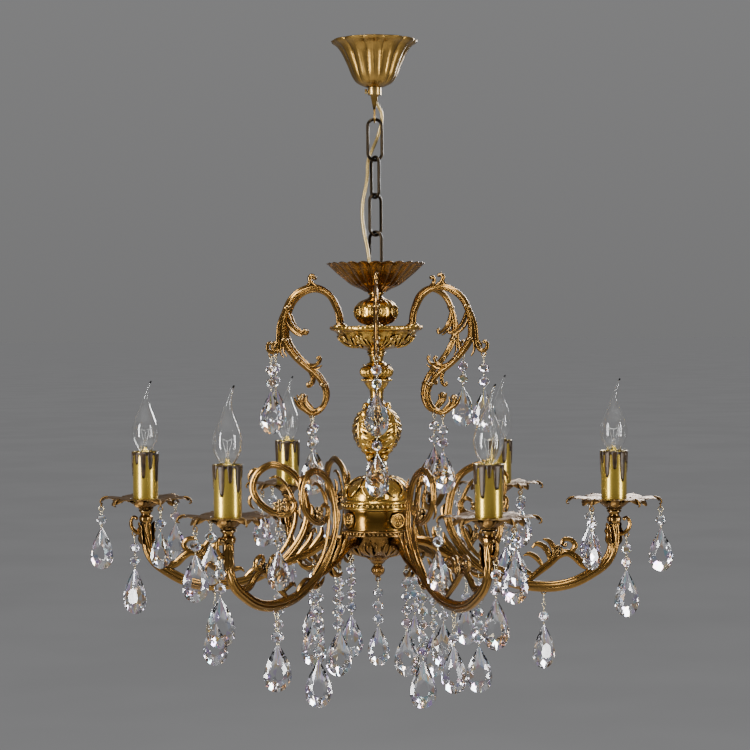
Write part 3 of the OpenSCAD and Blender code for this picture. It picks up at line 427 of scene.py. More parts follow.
# Each finish gives its recess colour, painted in as shade, its body colour, and its bright colour, painted
# onto ridges as a highlight.
cast_brass = metal_with_patina_and_painted_light("cast_brass", (0.012, 0.005, 0.001), (0.285, 0.152, 0.040), (1.0, 0.76, 0.36),
                        rough=(0.13, 0.25), reach=0.009, grain=0.07)
antique = metal_with_patina_and_painted_light("antique_brass", (0.022, 0.010, 0.002), (0.35, 0.208, 0.054), (0.85, 0.60, 0.24),
                     rough=(0.26, 0.34), grain=0.06)
gilt = metal_with_patina_and_painted_light("gilt_brass", (0.020, 0.008, 0.001), (0.52, 0.305, 0.064), (0.98, 0.72, 0.28),
                  rough=(0.17, 0.30), reach=0.008, grain=0.1)
drum_brass = metal_with_patina_and_painted_light("drum_brass", (0.014, 0.005, 0.001), (0.33, 0.175, 0.036), (0.90, 0.60, 0.22),
                        rough=(0.16, 0.27), grain=0.06)
red_bronze = metal_with_patina_and_painted_light("red_bronze", (0.010, 0.004, 0.001), (0.22, 0.112, 0.030), (0.76, 0.50, 0.19),
                        rough=(0.22, 0.34), grain=0.06)
dark_bronze = metal_with_patina_and_painted_light("dark_bronze", (0.005, 0.004, 0.003), (0.028, 0.020, 0.012), (0.20, 0.14, 0.08),
                         rough=(0.25, 0.40))
bobeche_bronze = metal_with_patina_and_painted_light("bobeche_bronze", (0.008, 0.004, 0.001), (0.16, 0.085, 0.025),
                            (0.46, 0.31, 0.13), rough=(0.36, 0.52))
steel = metal_with_patina_and_painted_light("zinc_steel", (0.1, 0.1, 0.1), (0.60, 0.60, 0.58), (0.8, 0.8, 0.8))
plated = metal_with_patina_and_painted_light("plated_steel", (0.14, 0.09, 0.03), (0.60, 0.42, 0.16), (0.9, 0.72, 0.36))


def candle_paint():
    n = Nodes("candle_gold")
    streak = n.noise(60, 4, 0.6, stretch=(1, 1, 0.12))
    n.link(n.ramp(streak, (0.3, (0.36, 0.245, 0.036)), (0.7, (0.58, 0.410, 0.070))),
           n.shader.inputs["Base Color"])
    n.set(Metallic=0.9, Roughness=0.27, Coat_Weight=0.2, Coat_Roughness=0.15)
    n.bump(n.noise(700, 3), 0.15, 0.0002)
    return n.material


def wax_paint():
    n = Nodes("brown_wax")
    blot = n.noise(140, 4)
    n.link(n.ramp(blot, (0.35, (0.012, 0.006, 0.002)), (0.7, (0.045, 0.024, 0.007))),
           n.shader.inputs["Base Color"])
    n.set(Metallic=0.2, Roughness=0.38, Specular_IOR_Level=0.35)
    n.bump(n.noise(400, 3), 0.25, 0.0003)
    return n.material


def glass_paint(name, ior, colour, tint=False):
    n = Nodes(name)
    n.set(Transmission_Weight=1.0, Roughness=0.0, IOR=ior)
    n.shader.inputs["Base Color"].default_value = (*colour, 1)
    wave = n.noise(55, 2)
    if tint:
        # The darker a facet's tint, the more a grey-to-white noise replaces the glass colour there: painted
        # dark reflections on the facets.
        cover = n.node("VertexColor", layer_name="tint").outputs["Color"]
        n.link(n.mix(n.ramp(wave, (0.35, (0.55, 0.55, 0.55)), (0.65, (1, 1, 1))), colour, cover),
               n.shader.inputs["Base Color"])
    n.bump(wave, 0.03, 0.0004)
    return n.material


crystal = glass_paint("cut_crystal", 1.62, (0.985, 0.99, 1.0), tint=True)
bulb_glass = glass_paint("bulb_glass", 1.5, (0.99, 0.99, 0.985))


def plain_paint(name, low, high, metallic, rough, scale=200, bump=0.1, **more):
    n = Nodes(name)
    blot = n.noise(scale, 4)
    n.link(n.ramp(blot, (0.35, low), (0.65, high)), n.shader.inputs["Base Color"])
    n.set(Metallic=metallic, Roughness=rough, **more)
    n.bump(blot, bump, 0.0002)
    return n.material


phenolic = plain_paint("phenolic", (0.012, 0.011, 0.010), (0.030, 0.027, 0.024), 0, 0.45)
pin_metal = plain_paint("pin_metal", (0.62, 0.50, 0.28), (0.86, 0.74, 0.48), 1, 0.22)
ceramic = plain_paint("bulb_stem", (0.75, 0.76, 0.75), (0.85, 0.86, 0.84), 0, 0.3)
cord_paint = plain_paint("cord_sleeve", (0.26, 0.175, 0.055), (0.48, 0.345, 0.13), 0.5, 0.3, 500, 0.3,
                         Coat_Weight=0.5, Coat_Roughness=0.1)

for node_name, material in (
    ("ceiling_strap", plated), ("hanging_stem", plated), ("set_screw", plated),
    ("scroll_screws", plated), ("centre_rod", steel), ("rod_nuts", steel), ("arm_nuts", steel),
    ("canopy_collar", antique), ("hanging_loop", antique), ("body_loop", antique),
    ("lampholders", phenolic), ("chain_link_1", dark_bronze), ("chain_link_2", dark_bronze),
    ("chain_link_3", dark_bronze), ("chain_link_4", dark_bronze),
):
    for part in frame["nodes"][node_name].material_slots:
        part.material = material


# ------------------------------------------------------------ supply cord

CORD_D = 4.4
ROUTE = [
    (0, 0, -40), (0, 0, -56), (0, 0, -68), (0.5, 0.3, -75), (4, 2, -82), (8.6, 5, -91),
    (9.4, 6.4, -100), (7, 7, -112), (3, 7.4, -125), (-2.6, 7.6, -138), (-7.4, 6.6, -149),
    (-9.6, 4.2, -160), (-9.8, 1.2, -172), (-11.5, -1.6, -186), (-14.5, -2.8, -200),
    (-16.4, -3.2, -213), (-16.8, -3, -227), (-15.6, -2.4, -241), (-13.2, -1.6, -255),
    (-10.6, -1, -268), (-9, -0.6, -280), (-8.4, -0.3, -292), (-8.2, 0, -304), (-8.2, 0, -315),
    (-8.2, 0, -319),
]


def supply_cord():
    shape = Shape()
    route = smooth(ROUTE, 5)
    shape.tube(route, CORD_D / 2, 16)
    obj = bpy.data.objects.new("supply_cord_sleeve", shape.mesh("supply_cord_sleeve", [cord_paint]))
    bpy.context.scene.collection.objects.link(obj)
    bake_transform(obj)
    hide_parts("supply_cord")


supply_cord()

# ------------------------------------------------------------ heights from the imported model, in mm


def low(node):
    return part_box(node)[0][2] / MM


def high(node):
    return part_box(node)[1][2] / MM


def half_width(node):
    lo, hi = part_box(node)
    return (hi[0] - lo[0]) / 2 / MM


CANOPY_H = -low("canopy")
CANOPY_R = half_width("canopy")
DISH_TOP, DISH_BOTTOM, DISH_R = high("upper_dish"), low("upper_dish"), half_width("upper_dish")
BALL_TOP, BALL_BOTTOM = DISH_BOTTOM - 10, DISH_BOTTOM - 42
BOWL_TOP, BOWL_BOTTOM, BOWL_R = high("scroll_bowl"), low("scroll_bowl"), half_width("scroll_bowl")
WAIST_BOTTOM, WAIST_R = low("waist_ring"), half_width("waist_ring")
VASE_BOTTOM = low("leaf_vase")
DOME_BOTTOM = low("drum_dome")
DRUM_BOTTOM = low("drum_body")
BASE_BOTTOM = low("drum_base")
DRUM_R = half_width("drum_base") - 2
DRUM_RIM = DRUM_R + 2
ROD_R = 5.25        # the bore that the centre rod passes
SHEET = 1.4         # the canopy's and the dish's sheet
SCROLL_CIRCLE = 54  # where the scrolls stand on the bowl
RIM_EYE_R = 59.4    # the drops' rings at the bobeches' petals
BEAD_PITCH = 17
RIM_LEAD, ARM_LEAD, HOOK_LEAD, FINIAL_LEAD = 9, 22, 9, 8  # ring to first bead

# Eyes in an arm's and in a scroll's own plane, where the drops hang
FOOT_EYE, SWEEP_EYE, OUTER_EYE, CURVE_EYE = (40, -31.5), (170, -70), (276.5, 4.4), (86, -44.5)
SCROLL_EYES = (97, -38.6), (41, -117.2)
SCROLL_YAWS = (14, 0, 5, -3, 0, 7)

angles, candle_r = [], 0
for i in range(1, 7):
    x, y, _ = joints[f"bulb_{i}_turn"]["pos_m"]
    angles.append(math.degrees(math.atan2(y, x)))
    candle_r = math.hypot(x, y) / MM
drop_x, drop_y, drop_z = joints["arm_drop_1_swing"]["pos_m"]
ARM_ROOT_R = math.hypot(drop_x, drop_y) / MM - SWEEP_EYE[0]
ARM_ROOT_Z = drop_z / MM - SWEEP_EYE[1]
BOBECHE_Z = low("candle_sleeves") - 0.1
SLEEVE_TOP = high("candle_sleeves")


def lobes(a, count, sharp=1.0):
    """1 on the crown of each lobe and 0 in the valleys between them."""
    return abs(math.cos(count * a / 2)) ** sharp


def scroll_places():
    return [turn("Z", 30 + 60 * i) @ move(SCROLL_CIRCLE, 0, BOWL_TOP) @ turn("Z", yaw)
            for i, yaw in enumerate(SCROLL_YAWS)]


# ------------------------------------------------------------ canopy and dish

def canopy():
    shape = Shape()
    curve = smooth([(1, 0), (0.955, 0.05), (0.85, 0.12), (0.75, 0.25), (0.68, 0.38), (0.6, 0.55),
                    (0.51, 0.76), (0.40, 0.90), (0.24, 0.975), (0.15, 1)], 4)
    outer = [(r * CANOPY_R, -t * CANOPY_H) for r, t in curve]
    inner = [(max(r - SHEET, 6), z + (SHEET if i else 0)) for i, (r, z) in enumerate(outer)][::-1]

    def mod(r, z, a, i):
        t = -z / CANOPY_H
        depth = 0.085 * (0.25 + 0.75 * min(1, 4 * t)) * (1 - t) ** 0.4
        rib = 0.0
        for off in (-0.055, 0.055):
            phase = ((a * 12 / TAU + 0.5 + off) % 1) - 0.5
            rib += math.exp(-(phase / 0.025) ** 2)
        wave = lobes(a, 12, 0.6)
        rr = r * (1 - depth * (1 - wave)) + 0.7 * rib * (1 - t) ** 0.5
        if t < 0.03:
            rr = r * (1 - 0.045 * (1 - wave))
        return min(rr, CANOPY_R), z

    shape.turned(outer + inner, 288, mod)
    casting(shape, "canopy_bell", antique, "canopy", MOUNT)


def upper_dish():
    shape = Shape()
    h = DISH_TOP - DISH_BOTTOM
    curve = smooth([(1, 0.02), (0.955, 0.08), (0.885, 0.19), (0.78, 0.36), (0.66, 0.53), (0.49, 0.76),
                    (0.31, 0.90), (0.21, 1)], 4)
    outer = [(r * DISH_R, DISH_TOP - t * h) for r, t in curve]
    inner = [(max(r - 1.6, 7), z + SHEET * (1 if i else 0)) for i, (r, z) in enumerate(outer)][::-1]

    def mod(r, z, a, i):
        t = (DISH_TOP - z) / h
        wave = lobes(a, 24, 0.8)
        rr = r * (1 - 0.05 * (1 - wave) * min(1, r / 25))
        lift = 2.2 * (wave - 1) * max(0, 1 - t * 7)
        return rr, z + lift

    shape.turned(outer + inner, 288, mod)
    casting(shape, "fluted_dish", red_bronze, "upper_dish")


# ------------------------------------------------------------ column

def medallion(shape, r, at, petals=6, mat=0):
    """A round boss in relief: a corded rim, petals and a centre bead, facing +X."""
    face = at @ turn("Z", 90)
    shape.ring(r * 0.86, r * 0.15, 28, 8, at=face, mat=mat)
    shape.ring(r * 0.62, r * 0.07, 24, 6, at=face, mat=mat)
    for k in range(petals):
        spot = face @ turn("Y", 360 * k / petals) @ move(r * 0.36, 0, 0) @ turn("X", 90)
        shape.bead(r * 0.19, at=spot @ Matrix.Diagonal((1.3, 0.9, 0.8, 1)), mat=mat, n=8)
    shape.bead(r * 0.2, at=face @ turn("X", 90), mat=mat, n=10)


def embossed_ball():
    shape = Shape()
    top = DISH_BOTTOM
    ball_r = half_width("embossed_ball")
    mid, half = (BALL_TOP + BALL_BOTTOM) / 2, (BALL_TOP - BALL_BOTTOM) / 2
    outline = [(ROD_R, top), (10.5, top), (10.5, top - 2.4), (8.6, top - 3.6), (8.6, top - 6),
               (11.5, top - 8.2)]
    for degrees in range(72, -73, -8):
        a = math.radians(degrees)
        outline.append((11 + (ball_r - 12) * math.cos(a) ** 0.8, mid + half * math.sin(a)))
    foot = high("scroll_bowl") - 6
    outline += [(13, BALL_BOTTOM - 0.8), (13.5, BALL_BOTTOM - 2), (11, foot), (11.5, foot - 12),
                (ROD_R, foot - 12)]

    def mod(r, z, a, i):
        if abs(z - mid) > half or r < 12:
            return r, z
        swirl = math.sin(18 * a) * abs(z - mid) / half
        return r + 0.8 * swirl - 0.7, z

    shape.turned(smooth(outline, 1), 168, mod)
    for k in range(6):
        at = turn("Z", 60 * k + 30) @ move(ball_r - 1.9, 0, mid)
        medallion(shape, 9.0, at)
        for side in (-1, 1):
            shape.leaf([(0, 0), (1.6, 4.5), (0.5, 9)], 2.6, 2, thick=1, vein=0.5, nu=8, nv=5,
                       at=turn("Z", 60 * k) @ move(ball_r - 4.2, 0, mid) @ turn("X", 90 - 90 * side))
    casting(shape, "ball_relief", gilt, "embossed_ball")


def scroll_bowl():
    shape = Shape()
    h = BOWL_TOP - BOWL_BOTTOM
    outer = smooth([(BOWL_R - 0.6, BOWL_TOP), (BOWL_R, BOWL_TOP - 2.4), (BOWL_R - 1, BOWL_TOP - 5),
                    (BOWL_R - 5, BOWL_TOP - 6.6), (BOWL_R - 8, BOWL_TOP - 9),
                    (BOWL_R - 13, BOWL_TOP - 0.48 * h), (BOWL_R - 21, BOWL_TOP - 0.68 * h),
                    (27, BOWL_TOP - 0.8 * h), (16, BOWL_TOP - 0.86 * h), (12, BOWL_TOP - 0.92 * h),
                    (12.5, BOWL_BOTTOM)], 5)
    inner = [(ROD_R, BOWL_BOTTOM), (ROD_R, BOWL_TOP - 19), (22, BOWL_TOP - 19), (34, BOWL_TOP - 15),
             (44, BOWL_TOP - 6), (46, BOWL_TOP - 2), (47, BOWL_TOP)]

    def mod(r, z, a, i):
        t = (BOWL_TOP - z) / h
        if i >= len(outer) or t < 0.17 or t > 0.86:
            return r + (0.5 * math.cos(60 * a) if i < 6 else 0), z
        u, v = a * 12 / TAU, (t - 0.17) / 0.69
        swirl = math.cos(TAU * (2 * u + 0.9 * v)) * math.cos(TAU * (u - 1.3 * v))
        swirl += 0.5 * math.cos(TAU * (3 * v - u))
        return r + 1.15 * swirl * math.sin(math.pi * v) ** 0.6 - 0.5, z

    shape.turned([*outer, *inner], 240, mod)
    side_line = smooth([(BOWL_R - 8, 9), (BOWL_R - 13, 0.48 * h), (BOWL_R - 21, 0.68 * h), (27, 0.8 * h)],
                       6)

    def on_bowl(degrees, t, out=0.6):
        """A point on the bowl's side, t of the way down it."""
        r, fall = spine_at([tuple(q) for q in side_line], t)
        a = math.radians(degrees)
        return ((r + out) * math.cos(a), (r + out) * math.sin(a), BOWL_TOP - fall - out * 0.6)

    for k in range(12):
        mid, hand = 30 * k + 15, 1 if k % 2 else -1
        x, _, z = on_bowl(0, 0.3)
        medallion(shape, 5.4, turn("Z", 30 * k) @ move(x - 0.4, 0, z) @ turn("Y", 38), 5)
        share = np.linspace(0, 1, 22)
        curl = [on_bowl(mid + hand * (1.5 + 7.5 * (1 - s) * math.cos(5.2 * s)),
                        0.47 + 0.42 * (1 - 0.6 * s) * math.sin(5.2 * s - 0.6)) for s in share]
        shape.tube(curl, 1.7 - 0.9 * share, 8)
        share = np.linspace(0, 1, 10)
        tail = [on_bowl(30 * k + hand * (2 + 9 * s), 0.66 + 0.26 * math.sin(3 * s)) for s in share]
        shape.tube(tail, 1.6 - share, 8)
    for k in range(6):
        shape.bead(2.0, at=turn("Z", 60 * k) @ move(BOWL_R - 1.4, 0, BOWL_TOP - 2.6), n=8)
        at = turn("Z", 60 * k + 30) @ move(SCROLL_CIRCLE, 0, 0)
        seat = ((0.2, 2.6), (7.2, 2.4), (8.4, 0.6), (8.4, -2), (0.2, -2))
        shape.turned([(r, BOWL_TOP + z) for r, z in seat], 28, wrap=False, at=at)
    piece("scroll_bowl_relief", shape.mesh("scroll_bowl_relief", [gilt]), FIXTURE,
          ["scroll_bowl"])


def waist():
    shape = Shape()
    top, h = BOWL_BOTTOM, BOWL_BOTTOM - WAIST_BOTTOM
    curve = smooth([(9.5, 0), (11.5, 0.03), (9.4, 0.07), (8.8, 0.17), (12, 0.20), (13, 0.23), (16, 0.26),
                    (20, 0.30), (22, 0.37), (20.6, 0.45), (16.8, 0.50), (19.0, 0.53), (19.2, 0.56),
                    (16, 0.59), (13, 0.66), (10, 0.74), (8.6, 0.84), (8.4, 1)], 3)
    scale = WAIST_R / 22.4

    def mod(r, z, a, i):
        t = (top - z) / h
        if 0.27 < t < 0.48 and r > 14:
            return r * (1 - 0.09 * (1 - lobes(a, 24, 0.8))), z
        if 0.59 < t < 0.74 and r > 9:
            return r * (1 + 0.05 * math.cos(12 * a)), z
        return r, z

    shape.turned([(r * scale, top - t * h) for r, t in curve] + [(ROD_R, WAIST_BOTTOM), (ROD_R, top)],
                 192, mod)
    for k in range(20):
        shape.bead(1.5, at=turn("Z", 18 * k) @ move(18.9 * scale, 0, top - 0.545 * h), n=8)
    for k in range(8):
        shape.leaf([(8.4, 0), (11.4, 5), (15.5, 9), (18.5, 10)], 4.2, 2, thick=1, vein=0.5, nu=10, nv=5,
                   at=turn("Z", 45 * k + 10) @ move(0, 0, top - 0.26 * h - 8))
    casting(shape, "waist_relief", gilt, "waist_ring")


def spine_at(spine, t):
    """The point a share t of the way along a list of points."""
    place = max(0.0, min(0.9999, t)) * (len(spine) - 1)
    i = int(place)
    f = place - i
    return tuple(spine[i][k] * (1 - f) + spine[i + 1][k] * f for k in (0, 1))


def vase():
    shape = Shape()
    top, h = WAIST_BOTTOM, WAIST_BOTTOM - VASE_BOTTOM
    core = smooth([(8.6, 0), (12, 0.05), (9.5, 0.09), (13, 0.18), (17, 0.4), (15, 0.66), (10, 0.86),
                   (8, 0.93), (10.5, 0.97), (9, 1)], 3)
    shape.turned([(r, top - t * h) for r, t in core] + [(ROD_R + 0.2, VASE_BOTTOM), (ROD_R + 0.2, top)],
                 96, lambda r, z, a, i: (r * (1 + 0.04 * math.cos(16 * a)), z))
    vase_r = half_width("leaf_vase") / math.cos(math.radians(7))
    spine = [(10, -5), (20, -8), (31, -15), (38, -26), (39.5, -36), (36.5, -48), (29, -59), (21, -67),
             (16.5, -73)]
    spine = [(r * min(1, vase_r / 41), z) for r, z in spine]

    def width(t):
        end = 1 if t < 0.85 else 1 - 3 * (t - 0.85)
        return (0.35 + 0.65 * math.sin(math.pi * min(1, t * 1.08)) ** 0.6) * end

    for k in range(4):
        at = turn("Z", 45 + 90 * k) @ move(0, 0, top)
        shape.leaf(spine, 20.5, 9, cup=0.34, thick=2.6, vein=2.4, nu=80, nv=27, jag=0.24, envelope=width,
                   at=at)
        shape.stem([(17.5, -66, 2.0), (16, -70.5, 3.6), (15.5, -74.2, 2.4)], depth=1, at=at, steps=3)
        shape.stem([(12, -8, 1.6), (17, -3, 2), (22, -3, 2.2), (24, -7, 1.8)], depth=1, at=at, steps=3)
        for rib in range(7):
            for side in (-1, 1):
                t = 0.16 + 0.1 * rib
                r0, z0 = spine_at(spine, t)
                r1, z1 = spine_at(spine, t + 0.13)
                shape.tube([(r0 + 1.4, 0, z0), ((r0 + r1) / 2 + 0.9, side * 6, (z0 + z1) / 2 + 1),
                            (r1 - 0.4, side * 12 * width(t), z1 + 3)], (1.3, 1.1, 0.5), 7, at=at)
        middle = [spine_at(spine, t) for t in np.linspace(0.08, 0.92, 12)]
        shape.tube([(r + 1.6, 0, z) for r, z in middle], 1.3, 8, at=at)
    casting(shape, "acanthus_vase", gilt, "leaf_vase")


def dome():
    shape = Shape()
    h = VASE_BOTTOM - DOME_BOTTOM
    crown = DOME_BOTTOM + 12
    stalk = 0.3 * h
    shoulder = h - 12 - stalk
    outline = [(ROD_R, VASE_BOTTOM), (9.5, VASE_BOTTOM), (8, VASE_BOTTOM - 3), (7.4, VASE_BOTTOM - 8),
               (10.5, VASE_BOTTOM - 12), (8.6, VASE_BOTTOM - 15)]

    def arc(degrees, foot, reach, lift, height):
        """Points on a quarter ellipse, from angles in degrees."""
        return [(foot + reach * math.cos(math.radians(a)), crown + lift + height * math.sin(math.radians(a)))
                for a in degrees]

    outline += arc(range(80, -1, -5), 9, DRUM_R - 9, 0, shoulder)
    rim = DRUM_R + 2.5
    outline += [(rim - 1.2, crown - 1), (rim, crown - 2.4), (rim - 1.6, crown - 4), (rim - 1.6, crown - 8.4),
                (rim, crown - 10), (rim - 0.8, DOME_BOTTOM + 0.4), (DRUM_R, DOME_BOTTOM),
                (DRUM_R - 4, DOME_BOTTOM)]
    outline += arc(range(0, 81, 10), 6, DRUM_R - 10, -2, shoulder - 1)
    outline += [(ROD_R, crown + shoulder - 4)]
    shape.turned(outline, 144)
    for k in range(44):
        shape.bead(2.1, at=turn("Z", 360 * k / 44) @ move(rim - 1.3, 0, crown - 6.2)
                   @ Matrix.Diagonal((1, 0.9, 1.35, 1)), n=8)
    for k in range(8):
        reach = arc((78, 64, 50, 34) if k % 2 else (78, 64, 50, 34, 18, 4), 9, DRUM_R - 8, 0.4, shoulder)
        shape.leaf(reach, 9.5 if k % 2 else 12.5, 4, cup=0.3, thick=1.6, vein=1.0, nu=24, nv=11,
                   at=turn("Z", 45 * k + 12),
                   envelope=lambda t: 0.25 + 0.75 * math.sin(math.pi * min(1, 0.2 + 0.75 * t)))
    for k in range(8):
        for hand in (-1, 1):
            line = []
            for q in np.linspace(0, 1, 12):
                up = math.radians(8 + 62 * q)
                a = math.radians(45 * k + 12 + 22.5 + hand * (4 + 15 * math.sin(math.pi * q) ** 0.8))
                r = 10.2 + (DRUM_R - 9) * math.cos(up)
                line.append((r * math.cos(a), r * math.sin(a), crown + 0.8 + shoulder * math.sin(up)))
            shape.tube(line, [1.4 - 0.7 * q for q in np.linspace(0, 1, 12)], 8)
    casting(shape, "dome_relief", gilt, "drum_dome")


def drum():
    shape = Shape()
    h = DOME_BOTTOM - DRUM_BOTTOM
    outline = [(DRUM_R, DOME_BOTTOM), (DRUM_R, DOME_BOTTOM - 1.4), (DRUM_R - 0.8, DOME_BOTTOM - 2.4),
               (DRUM_R - 0.8, DRUM_BOTTOM + 2.4), (DRUM_R, DRUM_BOTTOM + 1.4), (DRUM_R, DRUM_BOTTOM),
               (DRUM_R - 2.5, DRUM_BOTTOM), (DRUM_R - 2.5, DOME_BOTTOM)]
    shape.turned(outline, 160)
    for k in range(4):
        at = turn("Z", 35 + 90 * k) @ move(DRUM_R + 0.2, 0, DRUM_BOTTOM + h / 2)
        shape.turned([(0.1, -0.8), (10.4, -0.8), (10.4, 0.2), (9.6, 0.9), (0.1, 0.9)], 36, wrap=False,
                     at=at @ turn("Y", 90))
        medallion(shape, 10.2, at @ move(0.9, 0, 0), 6)
    casting(shape, "drum_side", drum_brass, "drum_body")


def base():
    shape = Shape()
    top, side = DRUM_BOTTOM, DRUM_BOTTOM - 20
    rim = DRUM_RIM
    outline = [(DRUM_R, top), (rim - 0.4, top - 0.6), (rim, top - 1.8), (rim - 1.4, top - 3),
               (rim - 1.4, top - 5.4), (rim, top - 6.8), (rim - 1.2, top - 8.2), (DRUM_R - 0.8, top - 9.4),
               (DRUM_R - 1, side + 2),
               (DRUM_R - 3, side - 3), (DRUM_R - 7, side - 7.5), (DRUM_R - 14, side - 12), (24, side - 14),
               (17, BASE_BOTTOM + 9), (14, BASE_BOTTOM + 5.5), (10.5, BASE_BOTTOM + 3), (8.5, BASE_BOTTOM),
               (ROD_R, BASE_BOTTOM), (ROD_R, BASE_BOTTOM + 12), (16, BASE_BOTTOM + 12),
               (DRUM_R - 17, side - 7), (DRUM_R - 8, side - 4), (DRUM_R - 3, side), (DRUM_R - 3, top)]
    outline = outline[:8] + [tuple(q) for q in smooth(outline[8:17], 4)] + outline[17:]

    def mod(r, z, a, i):
        if 8 < i < 36 and z < side + 2:
            return r * (1 - 0.075 * (1 - lobes(a, 20, 0.7))), z
        return r, z

    shape.turned(outline, 240, mod)
    for k in range(52):
        shape.bead(1.9, at=turn("Z", 360 * k / 52) @ move(rim - 1.3, 0, top - 4.2) @ turn("X", 28)
                   @ Matrix.Diagonal((1, 0.85, 1.4, 1)), n=8)
    for k in range(10):
        edge = [(15.5, BASE_BOTTOM + 8), (24, side - 14.4), (DRUM_R - 13, side - 12), (DRUM_R - 6, side - 7),
                (DRUM_R - 1.4, side - 1), (DRUM_R - 0.4, side + 6)]
        at = turn("Z", 36 * k + 5)
        shape.stem([(x, z, w) for (x, z), w in zip(edge, (1.2, 1.6, 2.0, 2.2, 2.0, 1.2))], 1.2, circle(10), 3,
                   at=at)
        for hand in (-1, 1):
            turnout = []
            for n_step in range(9):
                q = n_step / 8
                x, z = spine_at(edge, 0.35 + 0.6 * q)
                off = hand * (1.5 + 7 * math.sin(2.4 * q))
                turnout.append((math.sqrt(max(x * x - off * off, 1)) + 0.4, off, z))
            shape.tube(turnout, [1.5 - 0.09 * n_step for n_step in range(9)], 8, at=at)
    casting(shape, "base_relief", red_bronze, "drum_base")


def finial():
    shape = Shape()
    top, bottom = BASE_BOTTOM, joints["finial_drop_swing"]["pos_m"][2] / MM + 5.2
    mid = top - 0.52 * (top - bottom)
    r = half_width("finial")
    outline = [(0.2, top), (6.6, top), (7.4, top - 1), (5.2, top - 2.2), (5.6, top - 3)]
    outline += [(r * math.cos(math.radians(a)), mid + 0.84 * r * math.sin(math.radians(a)))
                for a in range(50, -66, -10)]
    outline += [(2.6, bottom), (0.2, bottom)]
    shape.turned(outline, 72, lambda rr, z, a, i: (rr * (1 - 0.06 * (1 - lobes(a, 12)) * (rr > 5)), z),
                 wrap=False)
    shape.ring(3, 0.8, 20, 8, at=move(0, 0, bottom - 2.2))
    casting(shape, "finial_ball", red_bronze, "finial")


# ------------------------------------------------------------ scrolls

SCROLL_W = 4.4
SCROLL = [
    (0, 2, 1.1), (1.5, 16, 1), (6.5, 28, 1), (13, 38.5, 1), (23, 46, 1), (34, 49.5, 1), (44.5, 49, 1),
    (55.5, 45, 1), (64.5, 38.5, 1), (71, 31, 1), (75.5, 22, 1), (79, 12, 1.05), (80.5, 1, 1.05),
    (80, -13.5, 1.05), (75.5, -23.5, 1.05), (68, -33.5, 1), (58, -43.5, 0.95), (47, -52.5, 0.9),
    (36, -60.5, 0.85), (27, -70.5, 0.85), (21, -82.5, 0.85), (21, -94, 0.85), (26, -104, 0.8),
    (34, -110, 0.8), (43, -110.5, 0.8), (52.5, -104, 0.75), (58, -95.5, 0.75),
]
SCROLL_HOOK = [
    (74, 26, 0.5), (81, 14, 0.62), (85.5, 1, 0.65), (87, -13, 0.65), (88, -24, 0.65), (92, -31, 0.65),
    (97.5, -32, 0.6), (101.5, -28, 0.55), (101, -22, 0.5), (97, -20, 0.4),
]


def scale_width(points, w):
    return [(x, z, h * w) for x, z, h in points]


def bud(shape, x, z, r, at=None):
    """The small round knob at a curl's end."""
    m = move(x, 0, z)
    shape.bead(r, at=(at @ m if at is not None else m), n=12, squash=1)


def eye(shape, x, z, at=None):
    m = move(x, 0, z + 3)
    shape.ring(3, 0.75, 18, 8, at=(at @ m if at is not None else m))


